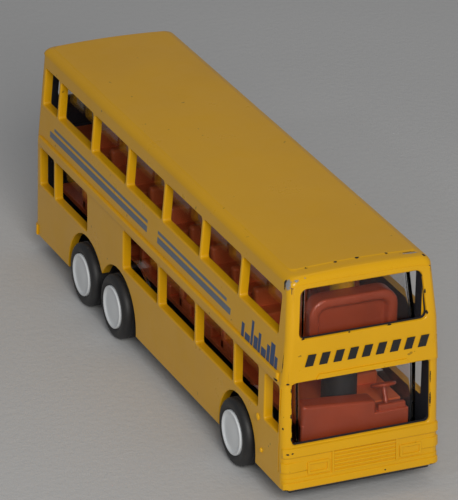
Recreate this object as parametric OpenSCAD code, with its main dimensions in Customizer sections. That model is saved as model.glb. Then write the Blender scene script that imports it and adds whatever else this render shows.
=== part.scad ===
// Die-cast toy double decker bus with three axles.
// The front of the bus faces -Y, the door is on the -X side, and the wheels stand on Z = 0.

/* [Body casting] */
// Length of the painted casting
body_l = 120; // [100:1:150]
// Width of the casting over the lower deck
body_w = 30.4; // [25:0.1:38]
// Height of the waist, where the two decks meet
waist_z = 24; // [21:0.1:29]
// Height of the upper deck, from the waist to the top of the roof
upper_h = 19.9; // [16.5:0.1:25]
// Height of the casting's bottom edge above the ground
body_bottom = 3.9; // [3.6:0.1:4.7]
// Thickness of the cast side walls
wall = 1.6; // [1.2:0.1:2]
// Thickness of the cast front and tail
end_wall = 1.1; // [0.9:0.1:1.6]
// Thickness of the cast roof
roof_t = 1.6; // [1.2:0.1:2.2]
// How far each side leans in between the waist and the roof
tumblehome = 1.55; // [0:0.05:2.5]
// How far the lower front leans back up to the waist
lower_rake = 1.3; // [0:0.1:2]
// How far the upper front leans back above the sill of its windscreen
upper_rake = 1.9; // [0.5:0.1:3]
// How far the upper front stands proud of the lower windscreen
mask_step = 0.35; // [0.1:0.05:0.8]
// How far the tail leans forward
rear_rake = 0.5; // [0:0.1:2]
// Radius of the tail's corners seen from above
corner_r = 2.2; // [1:0.1:3]
// Radius of the nose's corners seen from above
nose_corner_r = 1.4; // [0.8:0.1:3]
// Radius of the long roof edges
roof_r = 2.2; // [1.8:0.1:3]
// Rise of the roof at its middle
roof_crown = 0.5; // [0:0.1:1]

/* [Windows] */
// Distance from one side window to the next
window_pitch = 17.4; // [14:0.1:21]
// Width of a pillar between two side windows
pillar_w = 0.8; // [0.6:0.1:2]
// Setback of the first upper window from the nose
first_window = 5; // [4.6:0.1:7]
// Distance from the last side window to the tail
last_pillar = 3.4; // [3:0.1:6]
// Height of the upper windows' sill above the waist
upper_sill_rise = 8.2; // [7:0.1:10]
// Distance of the upper side windows' heads under the top of the roof
upper_head = 4.2; // [3.6:0.1:6]
// Distance of the lower side windows' heads under the waist
lower_head = 0.8; // [0.6:0.1:2]
// Width of yellow beside the upper windscreen
upper_screen_side = 2.3; // [2:0.1:4]
// Distance of the upper windscreen's head under the top of the roof
upper_screen_head = 2.8; // [2.4:0.1:5]
// Width of yellow beside the lower windscreen
lower_screen_side = 1.9; // [1.7:0.1:4]
// Sill height of the lower windscreen
lower_screen_sill = 12.2; // [11.8:0.1:14]
// Setback of the door's front edge from the nose
door_setback = 1.9; // [1.5:0.1:3]
// Length of the door
door_l = 7.4; // [6:0.1:9]

/* [Wheels] */
// Radius of every tyre
tyre_r = 6.3; // [5.2:0.05:7.6]
// Width of every tyre
tyre_w = 4.8; // [4:0.1:5.8]
// How far the tyres stand out from the casting's sides
wheel_proud = 1.05; // [0.6:0.05:1.5]
// Radius of the white wheel hubs
hub_r = 4.2; // [3.5:0.05:5.05]
// Radius of the steel axles
axle_r = 1; // [0.8:0.05:1.3]
// Setback of the front axle from the nose
front_axle = 20; // [17:0.1:24]
// Distance of the rear axle from the tail
rear_overhang = 27.8; // [22:0.1:34]
// Distance between the middle axle and the rear axle
axle_spread = 15.7; // [14.5:0.1:19]
// Gap between a tyre and the front wheel arch over it
front_arch_gap = 1.2; // [1:0.1:2]
// Gap between a tyre and the rear wheel arch over it
rear_arch_gap = 1.6; // [1:0.1:2]

/* [Inside and underside] */
// Height of the base plate's underside
base_z = 3.1; // [2.6:0.05:3.4]
// Thickness of the base plate
base_t = 1.4; // [1:0.1:2]
// Gap between pieces that fit inside one another
fit_gap = 0.15; // [0.05:0.05:0.3]
// Clearance of an axle in its bearings, all round
axle_play = 0.05; // [0.03:0.01:0.1]
// Thickness of the clear glazing
glass_t = 0.8; // [0.6:0.1:1]
// Gap between the sides of the casting and those of the glazing
glass_gap = 2; // [0.3:0.1:2.4]
// Thickness of each moulded deck floor
floor_t = 1; // [0.8:0.1:1.4]
// Distance from one row of seats to the next
seat_pitch = 9.6; // [8:0.1:12]
// Height of a seat's back over the floor
seat_h = 5.4; // [4:0.1:6.5]
// Radius of the two posts cast under the roof
post_r = 2.2; // [1.8:0.1:2.6]
// Distance of each post from its end of the bus
post_setback = 10.4; // [10:0.1:13]
// Radius of the two screws
screw_r = 1.1; // [0.9:0.05:1.3]

/* [Hidden] */
$fn = 64;

yellow = [0.93, 0.66, 0.06];
orange = [0.75, 0.24, 0.12];
black = [0.07, 0.07, 0.07];
clear = [0.85, 0.9, 0.92, 0.35];
steel = [0.75, 0.75, 0.77];
white = [0.9, 0.9, 0.9];

far = 4 * body_l; // longer than any cut has to be
skin = 0.5; // how far a cut runs past the face that it starts from
sink = 0.2; // how far a moulded detail is rooted in what carries it

nose = -body_l / 2;
tail = body_l / 2;
half_w = body_w / 2;
body_top = waist_z + upper_h;
lean = tumblehome / upper_h; // slope of the upper sides
upper_sill = waist_z + upper_sill_rise;
side_head = body_top - upper_head; // where the upper side windows end

axle_z = tyre_r;
wheel_out = half_w + wheel_proud; // distance of a tyre's outer face from the middle
wheel_in = wheel_out - tyre_w;
wheel_gap = 0.6; // gap between a wheel and what stands beside it
rear_axle = body_l - rear_overhang;
middle_axle = rear_axle - axle_spread;
// the wheel arches: [setback of the centre from the nose, radius, height of the centre]
front_arch = [front_axle, tyre_r + 1.7, tyre_r - 1.7 + front_arch_gap];
rear_arch_r = tyre_r + 2.9; // the two rear arches are wider and run into one another
rear_arches = [for (a = [middle_axle, rear_axle]) [a, rear_arch_r, tyre_r - 2.9 + rear_arch_gap]];
arches = concat([front_arch], rear_arches);
arch_top = 2 * tyre_r + rear_arch_gap;
lower_sill = arch_top + 1.1; // a strip of casting stays between an arch and the window over it
lower_window_h = waist_z - lower_head - lower_sill;

posts = [post_setback, body_l - post_setback];
post_end = 17; // height of the posts' lower ends, which the screws enter
screw_hole_l = 9;

// Points of an arc round (a, b), from angle a0 to a1
function arc(a, b, r, a0, a1, steps = 6) =
    [for (i = [0 : steps]) [a + r * cos(a0 + (a1 - a0) * i / steps), b + r * sin(a0 + (a1 - a0) * i / steps)]];

// Half width of the casting at height z
function side_at(z) = half_w - (z > waist_z ? lean * (z - waist_z) : 0);

// Where the nose stands along Y at height z
function nose_at(z) = nose + (z < waist_z
    ? lower_rake * (z - body_bottom) / (waist_z - body_bottom)
    : lower_rake - mask_step + upper_rake * max(0, z - upper_sill) / (body_top - upper_sill));

// Cross-section of the bus, taken in by `inset`, between the heights `low` and `top`
module section(inset, low, top, crown) {
    r = max(0.3, roof_r - inset);
    roof_side = side_at(top) - inset;
    waist = half_w - inset;
    polygon(concat(
        [[-waist, low], [-waist, waist_z]],
        arc(-roof_side + r, top - crown - r, r, 180, 90),
        [[0, top]],
        arc(roof_side - r, top - crown - r, r, 90, 0),
        [[waist, waist_z], [waist, low]]));
}

// Side view of the bus, taken in by `inset`, between the heights `low` and `top`
module profile(inset, low, top) {
    r = max(0.3, roof_r - inset);
    front = nose_at(top) + inset;
    back = tail - rear_rake - inset;
    polygon(concat(
        [[nose_at(body_bottom) + inset, low], [nose_at(waist_z - 0.001) + inset, waist_z],
         [nose_at(waist_z) + inset, waist_z], [nose_at(upper_sill) + inset, upper_sill]],
        arc(front + r, top - r, r, 172, 90),
        arc(back - r, top - r, r, 90, 0),
        [[tail - inset, low]]));
}

// Plan of the bus, taken in by `inset` at the sides and `end_inset` at the ends: a rectangle with round corners
module plan(inset, end_inset) {
    x = half_w - inset;
    y = body_l / 2 - end_inset;
    b = max(0.3, corner_r - inset);
    f = max(0.3, nose_corner_r - inset);
    polygon(concat(arc(x - b, y - b, b, 0, 90), arc(-x + b, y - b, b, 90, 180),
                   arc(-x + f, -y + f, f, 180, 270), arc(x - f, -y + f, f, 270, 360)));
}

// The whole bus as one block, taken in at its sides and ends and cut off at `low` and `top`
module block(inset, end_inset, low, top, crown = roof_crown) {
    intersection() {
        rotate([90, 0, 0]) linear_extrude(far, center = true) section(inset, low, top, crown);
        rotate([90, 0, 90]) linear_extrude(far, center = true) profile(end_inset, low, top);
        linear_extrude(far) plan(inset, end_inset);
    }
}

// A slice of space between two heights
module slab(z0, z1) {
    translate([-far / 2, -far / 2, z0]) cube([far, far, z1 - z0]);
}

// The side windows stand in columns: [setback from the nose, length]
full_window = window_pitch - pillar_w;
columns = floor((body_l - first_window - last_pillar) / window_pitch);
tail_window = body_l - last_pillar - first_window - columns * window_pitch; // what is left for the short one
shortest_window = 4;
upper_windows = concat(
    [for (i = [0 : columns - 1]) [first_window + window_pitch * i, full_window]],
    tail_window < shortest_window ? [] : [[first_window + window_pitch * columns, tail_window]]);
door_end = door_setback + door_l;
after_door = door_end + 2.1; // the first lower window starts behind the door
blank_column = floor((middle_axle - first_window) / window_pitch); // there is no window over the middle axle
lower_windows = [for (i = [0 : len(upper_windows) - 1]) if (i != blank_column) upper_windows[i]];
door_side_windows = [for (w = lower_windows)
    w[0] < after_door ? [after_door, w[0] + w[1] - after_door] : w];

// Cuts through side s at the setback and length of window w
module window_cut(s, w, z, h) {
    translate([s > 0 ? 0 : -far / 2, nose + w[0], z]) cube([far / 2, w[1], h]);
}

door_frame = 0.7; // the door's frame round its window
door_window = [door_setback + door_frame, door_l - 2 * door_frame];
door_drop = 1.1; // the door's window reaches further down than the others

module side_cuts() {
    for (s = [-1, 1], w = upper_windows) window_cut(s, w, upper_sill, side_head - upper_sill);
    for (w = lower_windows) window_cut(1, w, lower_sill, lower_window_h);
    for (w = door_side_windows) window_cut(-1, w, lower_sill, lower_window_h);
    window_cut(-1, door_window, lower_sill - door_drop, lower_window_h + door_drop);
}

// A windscreen's opening, seen along Y: its half width at the sill, and how much narrower it is at the head
module screen(half, narrower, sill, head) {
    rotate([90, 0, 0]) linear_extrude(far, center = true)
        polygon([[-half, sill], [half, sill], [half - narrower, head], [-half + narrower, head]]);
}

screen_depth = 8; // the screens are cut through the end walls only
upper_screen_lean = 0.7; // how much narrower the upper windscreen is at its head, each side

module front_cuts() {
    intersection() {
        translate([-far / 2, nose - skin, 0]) cube([far, screen_depth, body_top]);
        union() {
            screen(side_at(upper_sill) - upper_screen_side, upper_screen_lean, upper_sill + 0.1,
                   body_top - upper_screen_head);
            screen(half_w - lower_screen_side, 0, lower_screen_sill, waist_z);
        }
    }
}

// the windows in the tail: [yellow beside it, how much narrower its head is, height over the side sill]
rear_upper_screen = [4.4, 0.6, 0.2];
rear_lower_screen = [5.6, 0.3, 2];

module rear_cuts() {
    intersection() {
        translate([-far / 2, tail - screen_depth, 0]) cube([far, screen_depth + skin, body_top]);
        union() {
            screen(half_w - rear_upper_screen[0], rear_upper_screen[1], upper_sill + rear_upper_screen[2],
                   side_head);
            screen(half_w - rear_lower_screen[0], rear_lower_screen[1], lower_sill + rear_lower_screen[2],
                   waist_z - lower_head);
        }
    }
}

// A wheel arch is round above its centre and straight below it
module arch_cut(a, gap = 0) {
    translate([0, nose + a[0], a[2]]) rotate([0, 90, 0]) cylinder(h = far, r = a[1] + gap, center = true);
    translate([-far / 2, nose + a[0] - a[1] - gap, -skin]) cube([far, 2 * (a[1] + gap), a[2] + skin]);
}

groove = 0.3; // width and depth of the lines cast into the side
door_bottom = 7;
door_head = 1; // distance of the line's top from the waist

// The line round the door, on its side only
module door_outline() {
    x = -half_w - skin;
    for (y = [door_setback, door_end - groove])
        translate([x, nose + y, door_bottom]) cube([groove + skin, groove, waist_z - door_head - door_bottom]);
    translate([x, nose + door_setback, door_bottom]) cube([groove + skin, door_l, groove]);
}

rib_h = 1.7;
rib_out = 0.45;
rib_setback = 3;

// The moulding that runs along both sides between the decks
module waist_rib() {
    for (s = [-1, 1])
        translate([s * (half_w - (wall - rib_out) / 2) - (wall + rib_out) / 2, nose + rib_setback, waist_z])
            cube([wall + rib_out, body_l - 2 * rib_setback, rib_h]);
}

// The two posts under the roof, which the screws enter from below
module roof_posts() {
    for (p = posts)
        translate([0, nose + p, post_end]) difference() {
            cylinder(h = body_top - roof_t - post_end + sink, r = post_r);
            translate([0, 0, -skin]) cylinder(h = screw_hole_l + skin, r = screw_r);
        }
}

relief = 0.3; // how far the cast details stand out
root = wall / 2; // how deep they are rooted in the wall
flat_half = half_w - corner_r; // half width of the tail's wall between its round corners
nose_half = half_w - nose_corner_r;

// A bar across an end wall, rooted in it and standing out from y by `out` towards `end`
module bar(half, y, end, z, h, out = relief) {
    translate([-half, y + (end < 0 ? -out : -root), z]) cube([2 * half, out + root, h]);
}

light_x = 9;
light = [3.9, 2.3];
light_z = 6.2;
light_line = 0.4;
grille_half = 5.9;
grille_z = 5.4;
grille_bars = 6;
grille_pitch = 0.75;
grille_bar = 0.35;
step_z = 10.45; // the rolled step above the grille
step_h = 1.2;
bumper_h = 1.3;
rolled_out = 0.4; // how far the step and the bumpers stand out
visor = [8.8, 0.2, 1.4]; // the lip over the lower windscreen: half width, height over the waist, thickness

// The outline of one headlamp
module headlamp(s) {
    y = nose_at(light_z + light[1] / 2);
    translate([s * light_x - light[0] / 2, y - relief, light_z]) difference() {
        cube([light[0], relief + root, light[1]]);
        translate([light_line, -skin, light_line])
            cube([light[0] - 2 * light_line, relief + skin, light[1] - 2 * light_line]);
    }
}

module nose_details() {
    y = nose_at(grille_z + 2);
    for (s = [-1, 1]) headlamp(s);
    for (s = [-1, 1])
        translate([s * grille_half - light_line / 2, y - relief, grille_z])
            cube([light_line, relief + root, grille_bars * grille_pitch]);
    for (i = [0 : grille_bars - 1]) bar(grille_half, y, -1, grille_z + i * grille_pitch, grille_bar);
    bar(nose_half, nose_at(step_z), -1, step_z, step_h, rolled_out);
    bar(nose_half, nose_at(body_bottom), -1, body_bottom, bumper_h, rolled_out);
    bar(visor[0], nose_at(waist_z), -1, waist_z + visor[1], visor[2]);
}

lamp = 2.6; // side of a rear lamp
lamp_heights = [8, 11.2];
plate = [9, 2.6];
plate_z = 6.6;
rear_bars = 6;
rear_bars_half = 7.5;
rear_bars_z = 9.8;
rear_bar_pitch = 1.1;
rear_bar = 0.5;
rear_bumper_h = 2.2;

module tail_details() {
    for (s = [-1, 1], z = lamp_heights)
        translate([s * (flat_half - lamp / 2) - lamp / 2, tail - root, z]) cube([lamp, root + relief, lamp]);
    for (i = [0 : rear_bars - 1]) bar(rear_bars_half, tail, 1, rear_bars_z + i * rear_bar_pitch, rear_bar);
    bar(plate[0] / 2, tail, 1, plate_z, plate[1]);
    bar(flat_half, tail, 1, body_bottom, rear_bumper_h, rolled_out);
}

corner_web = 0.35; // how much thicker the casting is inside its upper front corners

// The hollow inside, with the two thicker corners left out
module hollow() difference() {
    block(wall, end_wall, body_bottom - 1, body_top - roof_t);
    for (s = [-1, 1])
        translate([s > 0 ? half_w - wall - tumblehome - corner_web : -far / 2, nose, waist_z + 3])
            cube([far / 2 - (half_w - wall - tumblehome - corner_web) * (1 - s) / 2, first_window, far]);
}

module body_casting() color(yellow) {
    difference() {
        block(0, 0, body_bottom, body_top);
        hollow();
        side_cuts();
        front_cuts();
        rear_cuts();
        for (a = arches) arch_cut(a);
        door_outline();
    }
    waist_rib();
    roof_posts();
    nose_details();
    tail_details();
}

glass_side = wall + glass_gap; // how far the glazing stands in from the casting's sides
glass_end = end_wall + fit_gap; // the same at the front and the tail

// A glazing insert is a clear ring of wall, from z0 up to z1, that stands behind the openings
module glazing(z0, z1) {
    intersection() {
        difference() {
            block(glass_side, glass_end, body_bottom, body_top + 5, 0);
            block(glass_side + glass_t, glass_end + glass_t, body_bottom - 1, body_top + 6, 0);
        }
        slab(z0, z1);
    }
}

upper_floor = waist_z + 2.4; // top of the upper deck's floor
lower_floor = 2 * tyre_r + 2; // top of the lower deck's floor, over the wheels

roof_gap = 1; // gap over the upper glazing
sill_lap = 0.8; // how far the lower glazing reaches down behind the windscreen's sill

module upper_glazing() color(clear) glazing(upper_floor + fit_gap, body_top - roof_t - roof_crown - roof_gap);

module lower_glazing() color(clear) difference() {
    glazing(lower_screen_sill - sill_lap, upper_floor - floor_t - fit_gap);
    for (a = arches) arch_cut(a, wheel_gap);
}

// Half width of a deck that reaches up to height z inside the glazing
function deck_half(z) = side_at(z) - glass_side - glass_t - fit_gap;
tail_room = 0.4; // gap between a deck and the glazing behind it
deck_in = glass_end + glass_t + fit_gap + rear_rake + tail_room; // distance of a deck from the tail

collar_r = post_r + 1; // radius of the collars that stand on each deck round the posts and screws
aisle = 2.2; // half width of the aisle between the seats
cushion_l = 5.4;
cushion_h = 2.2;
back_t = 2.2;

// The moulded floor whose top is at z, between two setbacks
module deck_floor(z, y0, y1, half) {
    translate([-half, nose + y0, z - floor_t]) cube([2 * half, y1 - y0, floor_t]);
}

// Two double seats side by side, from the aisle to the walls
module seat_row(y, z, half) {
    for (s = [-1, 1])
        translate([s > 0 ? aisle : -half, nose + y, z - sink]) {
            cube([half - aisle, cushion_l, cushion_h + sink]);
            translate([0, cushion_l - back_t, 0]) cube([half - aisle, back_t, seat_h + sink]);
        }
}

// How many rows fit between setback y0 and the rear post
function rows(y0) = floor((posts[1] - collar_r - cushion_l - y0) / seat_pitch);

upper_first = 20;
lower_first = 32;
shelf = [17.2, 3.2, 10.8]; // width, thickness and height of the panel behind the upper windscreen
shelf_setback = nose_at(body_top) - nose + glass_end + glass_t + fit_gap; // clear of the leaning glazing
post_collar_h = 8.4; // height of the upper deck's collars round the posts

module upper_deck_seats() color(orange) {
    half = deck_half(upper_floor + seat_h);
    difference() {
        union() {
            deck_floor(upper_floor, shelf_setback, body_l - deck_in, half);
            for (i = [0 : rows(upper_first)]) seat_row(upper_first + i * seat_pitch, upper_floor, half);
            translate([-shelf[0] / 2, nose + shelf_setback, upper_floor - sink])
                cube([shelf[0], shelf[1], shelf[2] + sink]);
            for (p = posts)
                translate([0, nose + p, upper_floor - sink]) cylinder(h = post_collar_h + sink, r = collar_r);
        }
        for (p = posts) translate([0, nose + p, 0]) cylinder(h = far, r = post_r + fit_gap);
    }
}

base_top = base_z + base_t;
driver_x = 6;
driver_w = 6;
driver_setback = 14;

module lower_deck_seats() color(orange) {
    half = deck_half(lower_floor);
    difference() {
        union() {
            deck_floor(lower_floor, post_setback, body_l - deck_in, half);
            for (i = [0 : rows(lower_first)]) seat_row(lower_first + i * seat_pitch, lower_floor, half);
            translate([driver_x - driver_w / 2, nose + driver_setback, lower_floor - sink])
                cube([driver_w, cushion_l, cushion_h + sink]);
            translate([driver_x - driver_w / 2, nose + driver_setback + cushion_l - back_t, lower_floor - sink])
                cube([driver_w, back_t, seat_h + sink]);
            for (p = posts) // round the screws and the posts, up to the deck above
                translate([0, nose + p, base_top])
                    cylinder(h = upper_floor - floor_t - fit_gap - base_top, r = collar_r);
        }
        for (p = posts) translate([0, nose + p, post_end - fit_gap]) cylinder(h = far, r = post_r + fit_gap);
        for (p = posts) translate([0, nose + p, 0]) cylinder(h = far, r = screw_r + fit_gap);
    }
}

dash_setback = nose_at(waist_z) - nose + glass_end + glass_t + fit_gap; // just behind the glazing
dash_l = post_setback - collar_r - fit_gap - dash_setback;
dash_half = 10.4;
dash_reach = 4; // how far the dash's raised part runs past the middle
dash_step = lower_screen_sill + 2.3; // height of the shelf under the driver's side
dash_top = lower_screen_sill + 6;

module dashboard() color(orange) {
    translate([-dash_half, nose + dash_setback, base_top]) cube([2 * dash_half, dash_l, dash_step - base_top]);
    translate([-dash_half, nose + dash_setback, dash_step - sink])
        cube([dash_half + dash_reach, dash_l, dash_top - dash_step + sink]);
}

column_tilt = -25;
column_l = 3.4;
column_r = 0.5;
column_foot = [1.2, -1.2]; // where it stands, from the middle of the driver's seat and the dash's rear edge
steering_r = 2;
rim_r = 0.35;

module steering_wheel() color(orange)
    translate([driver_x + column_foot[0], nose + dash_setback + dash_l + column_foot[1], dash_step]) difference() {
        rotate([column_tilt, 0, 0]) {
            translate([0, 0, -1]) cylinder(h = column_l + 1, r = column_r);
            translate([0, 0, column_l]) rotate_extrude() translate([steering_r, 0]) circle(r = rim_r);
            translate([0, 0, column_l]) cylinder(h = 0.4, r = steering_r, center = true);
        }
        slab(-far, 0);
    }

bearing_wall = 1.6; // thickness of a bearing round its axle
bearing_l = 3;
head_r = screw_r + 0.9;
head_t = 0.8;

// Two bearings that carry an axle, one behind each wheel
module bearings(axle) {
    for (s = [-1, 1])
        translate([s * (wheel_in - wheel_gap - bearing_l / 2) - bearing_l / 2,
                   nose + axle - axle_r - bearing_wall, base_z])
            cube([bearing_l, 2 * (axle_r + bearing_wall), axle_z + axle_r + bearing_wall - base_z]);
}

module base_plate() color(black) difference() {
    union() {
        intersection() {
            linear_extrude(far) plan(wall + fit_gap, end_wall + fit_gap);
            slab(base_z, base_top);
        }
        for (a = arches) bearings(a[0]);
    }
    for (a = arches, s = [-1, 1])
        translate([s > 0 ? wheel_in - wheel_gap : -wheel_in + wheel_gap - far, nose + a[0] - tyre_r - 1, -skin])
            cube([far, 2 * tyre_r + 2, far]);
    for (a = arches)
        translate([0, nose + a[0], axle_z]) rotate([0, 90, 0])
            cylinder(h = far, r = axle_r + axle_play, center = true);
    for (p = posts) translate([0, nose + p, 0]) {
        cylinder(h = far, r = screw_r + fit_gap);
        translate([0, 0, base_z - skin]) cylinder(h = skin + head_t, r = head_r + fit_gap);
    }
}

thread_gap = 0.02; // between a screw and its hole
screw_short = 4; // how far a screw stops short of the end of its hole

// A screw with a flat head, let into the base
module screw(setback) color(steel) translate([0, nose + setback, base_z]) {
    cylinder(h = head_t, r = head_r);
    cylinder(h = post_end + screw_hole_l - screw_short - base_z, r = screw_r - thread_gap);
}

module front_screw() screw(posts[0]);
module rear_screw() screw(posts[1]);

hub_seat = 1.2; // how far the axle stops short of a tyre's outer face

module axle_rod(axle) color(steel)
    translate([0, nose + axle, axle_z]) rotate([0, 90, 0])
        cylinder(h = 2 * (wheel_out - hub_seat), r = axle_r, center = true);

module front_axle_rod() axle_rod(front_axle);
module middle_axle_rod() axle_rod(middle_axle);
module rear_axle_rod() axle_rod(rear_axle);

press = 0.01; // gap between pieces of one wheel

// A hub, turned round its axle: Y runs outwards from the tyre's inner face
module hub(axle, side) color(white)
    translate([side * wheel_in, nose + axle, axle_z]) rotate([0, side * 90, 0]) rotate_extrude()
        polygon([[axle_r + press, 0.3], [hub_r, 0.3], [hub_r, tyre_w + 0.1], [hub_r - 0.3, tyre_w + 0.25],
                 [hub_r - 0.8, tyre_w - 0.1], [hub_r - 1.6, tyre_w - 0.2], [0, tyre_w],
                 [0, tyre_w - hub_seat + press], [axle_r + press, tyre_w - hub_seat + press]]);

shoulder = 0.9; // radius of a tyre's shoulders

module tyre(axle, side) color(black)
    translate([side * wheel_in, nose + axle, axle_z]) rotate([0, side * 90, 0]) rotate_extrude()
        polygon(concat([[hub_r + press, 0.3], [tyre_r - shoulder, 0]],
                       arc(tyre_r - shoulder, shoulder, shoulder, -60, 0),
                       arc(tyre_r - shoulder, tyre_w - shoulder, shoulder, 0, 60),
                       [[tyre_r - shoulder, tyre_w], [hub_r + press, tyre_w]]));

body_casting();
upper_glazing();
lower_glazing();
upper_deck_seats();
lower_deck_seats();
dashboard();
steering_wheel();
base_plate();
front_screw();
rear_screw();
front_axle_rod();
middle_axle_rod();
rear_axle_rod();
for (wheel = [["front", front_axle], ["middle", middle_axle], ["rear", rear_axle]],
     side = [["left", 1], ["right", -1]]) {
    hub(wheel[1], side[1]);
    tyre(wheel[1], side[1]);
}
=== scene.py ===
"""Finished pieces of a die-cast toy double decker bus, built around its frame.

Every length inside the builders is in millimetres. The nose points along -Y, the door is on the -X side and the
wheels stand on Z = 0.
"""

import math

import bmesh
import bpy
from bpy.props import FloatProperty, FloatVectorProperty, IntProperty, PointerProperty
from mathutils import Euler, Matrix, Vector


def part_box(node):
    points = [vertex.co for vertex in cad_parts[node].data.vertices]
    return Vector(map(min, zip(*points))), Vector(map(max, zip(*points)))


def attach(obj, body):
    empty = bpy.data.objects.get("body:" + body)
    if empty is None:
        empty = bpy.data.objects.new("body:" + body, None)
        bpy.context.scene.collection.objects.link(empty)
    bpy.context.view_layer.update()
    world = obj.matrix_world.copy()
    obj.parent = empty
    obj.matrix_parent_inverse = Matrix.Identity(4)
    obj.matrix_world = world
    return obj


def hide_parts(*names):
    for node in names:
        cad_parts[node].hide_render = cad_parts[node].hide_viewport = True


bl_info = {
    "name": "Toy double decker bus",
    "version": (1, 0, 0),
    "blender": (4, 5, 0),
    "location": "3D View > Sidebar > Toy Bus",
    "description": "Builds the finished pieces of a die-cast toy double decker bus around its frame",
    "category": "Add Mesh",
}

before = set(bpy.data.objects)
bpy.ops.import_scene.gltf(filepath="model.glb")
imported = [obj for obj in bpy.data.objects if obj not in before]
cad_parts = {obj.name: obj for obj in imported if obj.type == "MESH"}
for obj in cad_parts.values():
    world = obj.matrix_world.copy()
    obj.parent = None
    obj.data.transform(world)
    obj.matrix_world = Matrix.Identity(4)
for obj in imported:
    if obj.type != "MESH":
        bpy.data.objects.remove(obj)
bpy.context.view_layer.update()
MM = 0.001
ROUND = 6  # steps in a quarter of a rounded corner


def node_box(node):
    """Lowest and highest corners of a frame node, in millimetres."""
    low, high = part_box(node)
    return Vector(low) / MM, Vector(high) / MM


# ---------------------------------------------------------------- sizes and colours that a user would change


def length(name, description, millimetres):
    return FloatProperty(name=name, description=description, default=millimetres * MM, min=0.0, unit="LENGTH",
                         precision=5)


def colour(name, description, value):
    return FloatVectorProperty(name=name, description=description, default=value, size=3, min=0.0, max=1.0,
                               subtype="COLOR")


class CastingSizes(bpy.types.PropertyGroup):
    body_length: length("Body length", "Length of the painted casting without its bumpers", 120)
    body_width: length("Body width", "Width of the casting over the lower deck", 30.4)
    body_bottom: length("Bottom edge", "Height of the casting's bottom edge", 3.9)
    waist: length("Waist", "Height at which the two decks meet", 24)
    top: length("Top", "Height of the roof at its middle", 43.9)
    wall: length("Side wall", "Thickness of the cast side walls", 1.6)
    end_wall: length("End wall", "Thickness of the cast front and tail", 1.1)
    roof_wall: length("Roof", "Thickness of the cast roof", 1.6)
    tumblehome: length("Tumblehome", "How far each side leans in between the waist and the roof", 1.55)
    lower_rake: length("Lower rake", "How far the lower front leans back up to the waist", 1.3)
    upper_rake: length("Upper rake", "How far the upper front leans back above its sill", 1.9)
    mask_step: length("Mask step", "How far the upper front stands proud of the lower windscreen", 0.35)
    rear_rake: length("Rear rake", "How far the tail leans forward", 0.5)
    corner: length("Tail corner", "Radius of the tail's corners seen from above", 2.2)
    nose_corner: length("Nose corner", "Radius of the nose's corners seen from above", 1.4)
    roof_edge: length("Roof edge", "Radius of the long roof edges", 1.5)
    crown: length("Roof crown", "Rise of the roof at its middle", 0.5)
    edge: length("Opening edge", "Rounding round every window opening", 0.3)
    rib_out: length("Rib", "How far the moulding between the decks stands out", 0.45)
    relief: length("Relief", "How far the cast details of the nose stand out", 0.28)


class WindowSizes(bpy.types.PropertyGroup):
    pitch: length("Window pitch", "Distance from one side window to the next", 17.4)
    pillar: length("Pillar", "Width of a pillar between two side windows", 0.8)
    first: length("First window", "Setback of the first upper window from the nose", 5)
    last: length("Last pillar", "Distance from the last side window to the tail", 3.4)
    upper_sill: length("Upper sill", "Height of the upper side windows' sill", 32.2)
    upper_head: length("Upper head", "Height of the upper side windows' head", 39.7)
    lower_sill: length("Lower sill", "Height of the lower side windows' sill", 15.3)
    lower_head: length("Lower head", "Height of the lower side windows' head", 23.2)
    corner: length("Window corner", "Corner radius of the side windows", 0.55)
    screen_corner: length("Windscreen corner", "Corner radius of the windscreens", 1.2)
    glass: length("Glazing", "Thickness of the clear glazing", 0.8)
    glass_side: length("Glazing setback", "Distance of the glazing from the casting's outer side", 3.6)
    glass_end: length("Glazing end setback", "Distance of the glazing from the casting's ends", 1.25)


class WheelSizes(bpy.types.PropertyGroup):
    tyre: length("Tyre radius", "Outer radius of every tyre", 6.3)
    tyre_width: length("Tyre width", "Width of every tyre", 4.8)
    hub: length("Hub radius", "Radius of the white wheel hubs", 4.2)
    treads: IntProperty(name="Tread grooves", description="Grooves round each tyre", default=2, min=0, max=4)


class BusColours(bpy.types.PropertyGroup):
    enamel: colour("Enamel", "Gloss enamel on the casting", (0.83, 0.430, 0.003))
    bare: colour("Bare metal", "Cast metal where the enamel has chipped", (0.46, 0.46, 0.47))
    # inside: near-black for the casting's inner walls, a painted shade where little light gets into the body
    inside: colour("Inside", "Unpainted inside of the casting", (0.012, 0.013, 0.018))
    # plastic and seats are one orange plastic in two brightnesses: plastic is a darker painted-shade copy, seats a
    # brighter painted-light copy
    plastic: colour("Interior plastic", "Moulded dashboard and front panel", (0.50, 0.068, 0.016))
    seats: colour("Seat plastic", "Moulded seats and floors", (0.86, 0.17, 0.045))
    black: colour("Base plastic", "Black base", (0.018, 0.018, 0.019))
    rubber: colour("Rubber", "Tyres", (0.012, 0.012, 0.013))
    hub: colour("Hub plastic", "Wheel hubs", (0.82, 0.85, 0.87))
    navy: colour("Dark print", "Dark blue print on the sides", (0.018, 0.055, 0.15))
    grey: colour("Pale print", "Grey blue stripes on the sides", (0.125, 0.15, 0.19))
    floor: colour("Floor", "Paper under the bus", (0.62, 0.62, 0.62))


class ToyBusSettings(bpy.types.PropertyGroup):
    casting: PointerProperty(type=CastingSizes, name="Casting", description="Sizes of the painted casting")
    windows: PointerProperty(type=WindowSizes, name="Windows", description="Sizes of openings and glazing")
    wheels: PointerProperty(type=WheelSizes, name="Wheels", description="Sizes of the wheels")
    colours: PointerProperty(type=BusColours, name="Colours", description="Colours of the finishes")


class Millimetres:
    """Reads the lengths of one property group in millimetres."""

    def __init__(self, group):
        for name in group.bl_rna.properties.keys():
            if name in ("rna_type", "name"):
                continue
            value = getattr(group, name)
            setattr(self, name, value / MM if isinstance(value, float) else value)


# ---------------------------------------------------------------- the casting's shape


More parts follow.
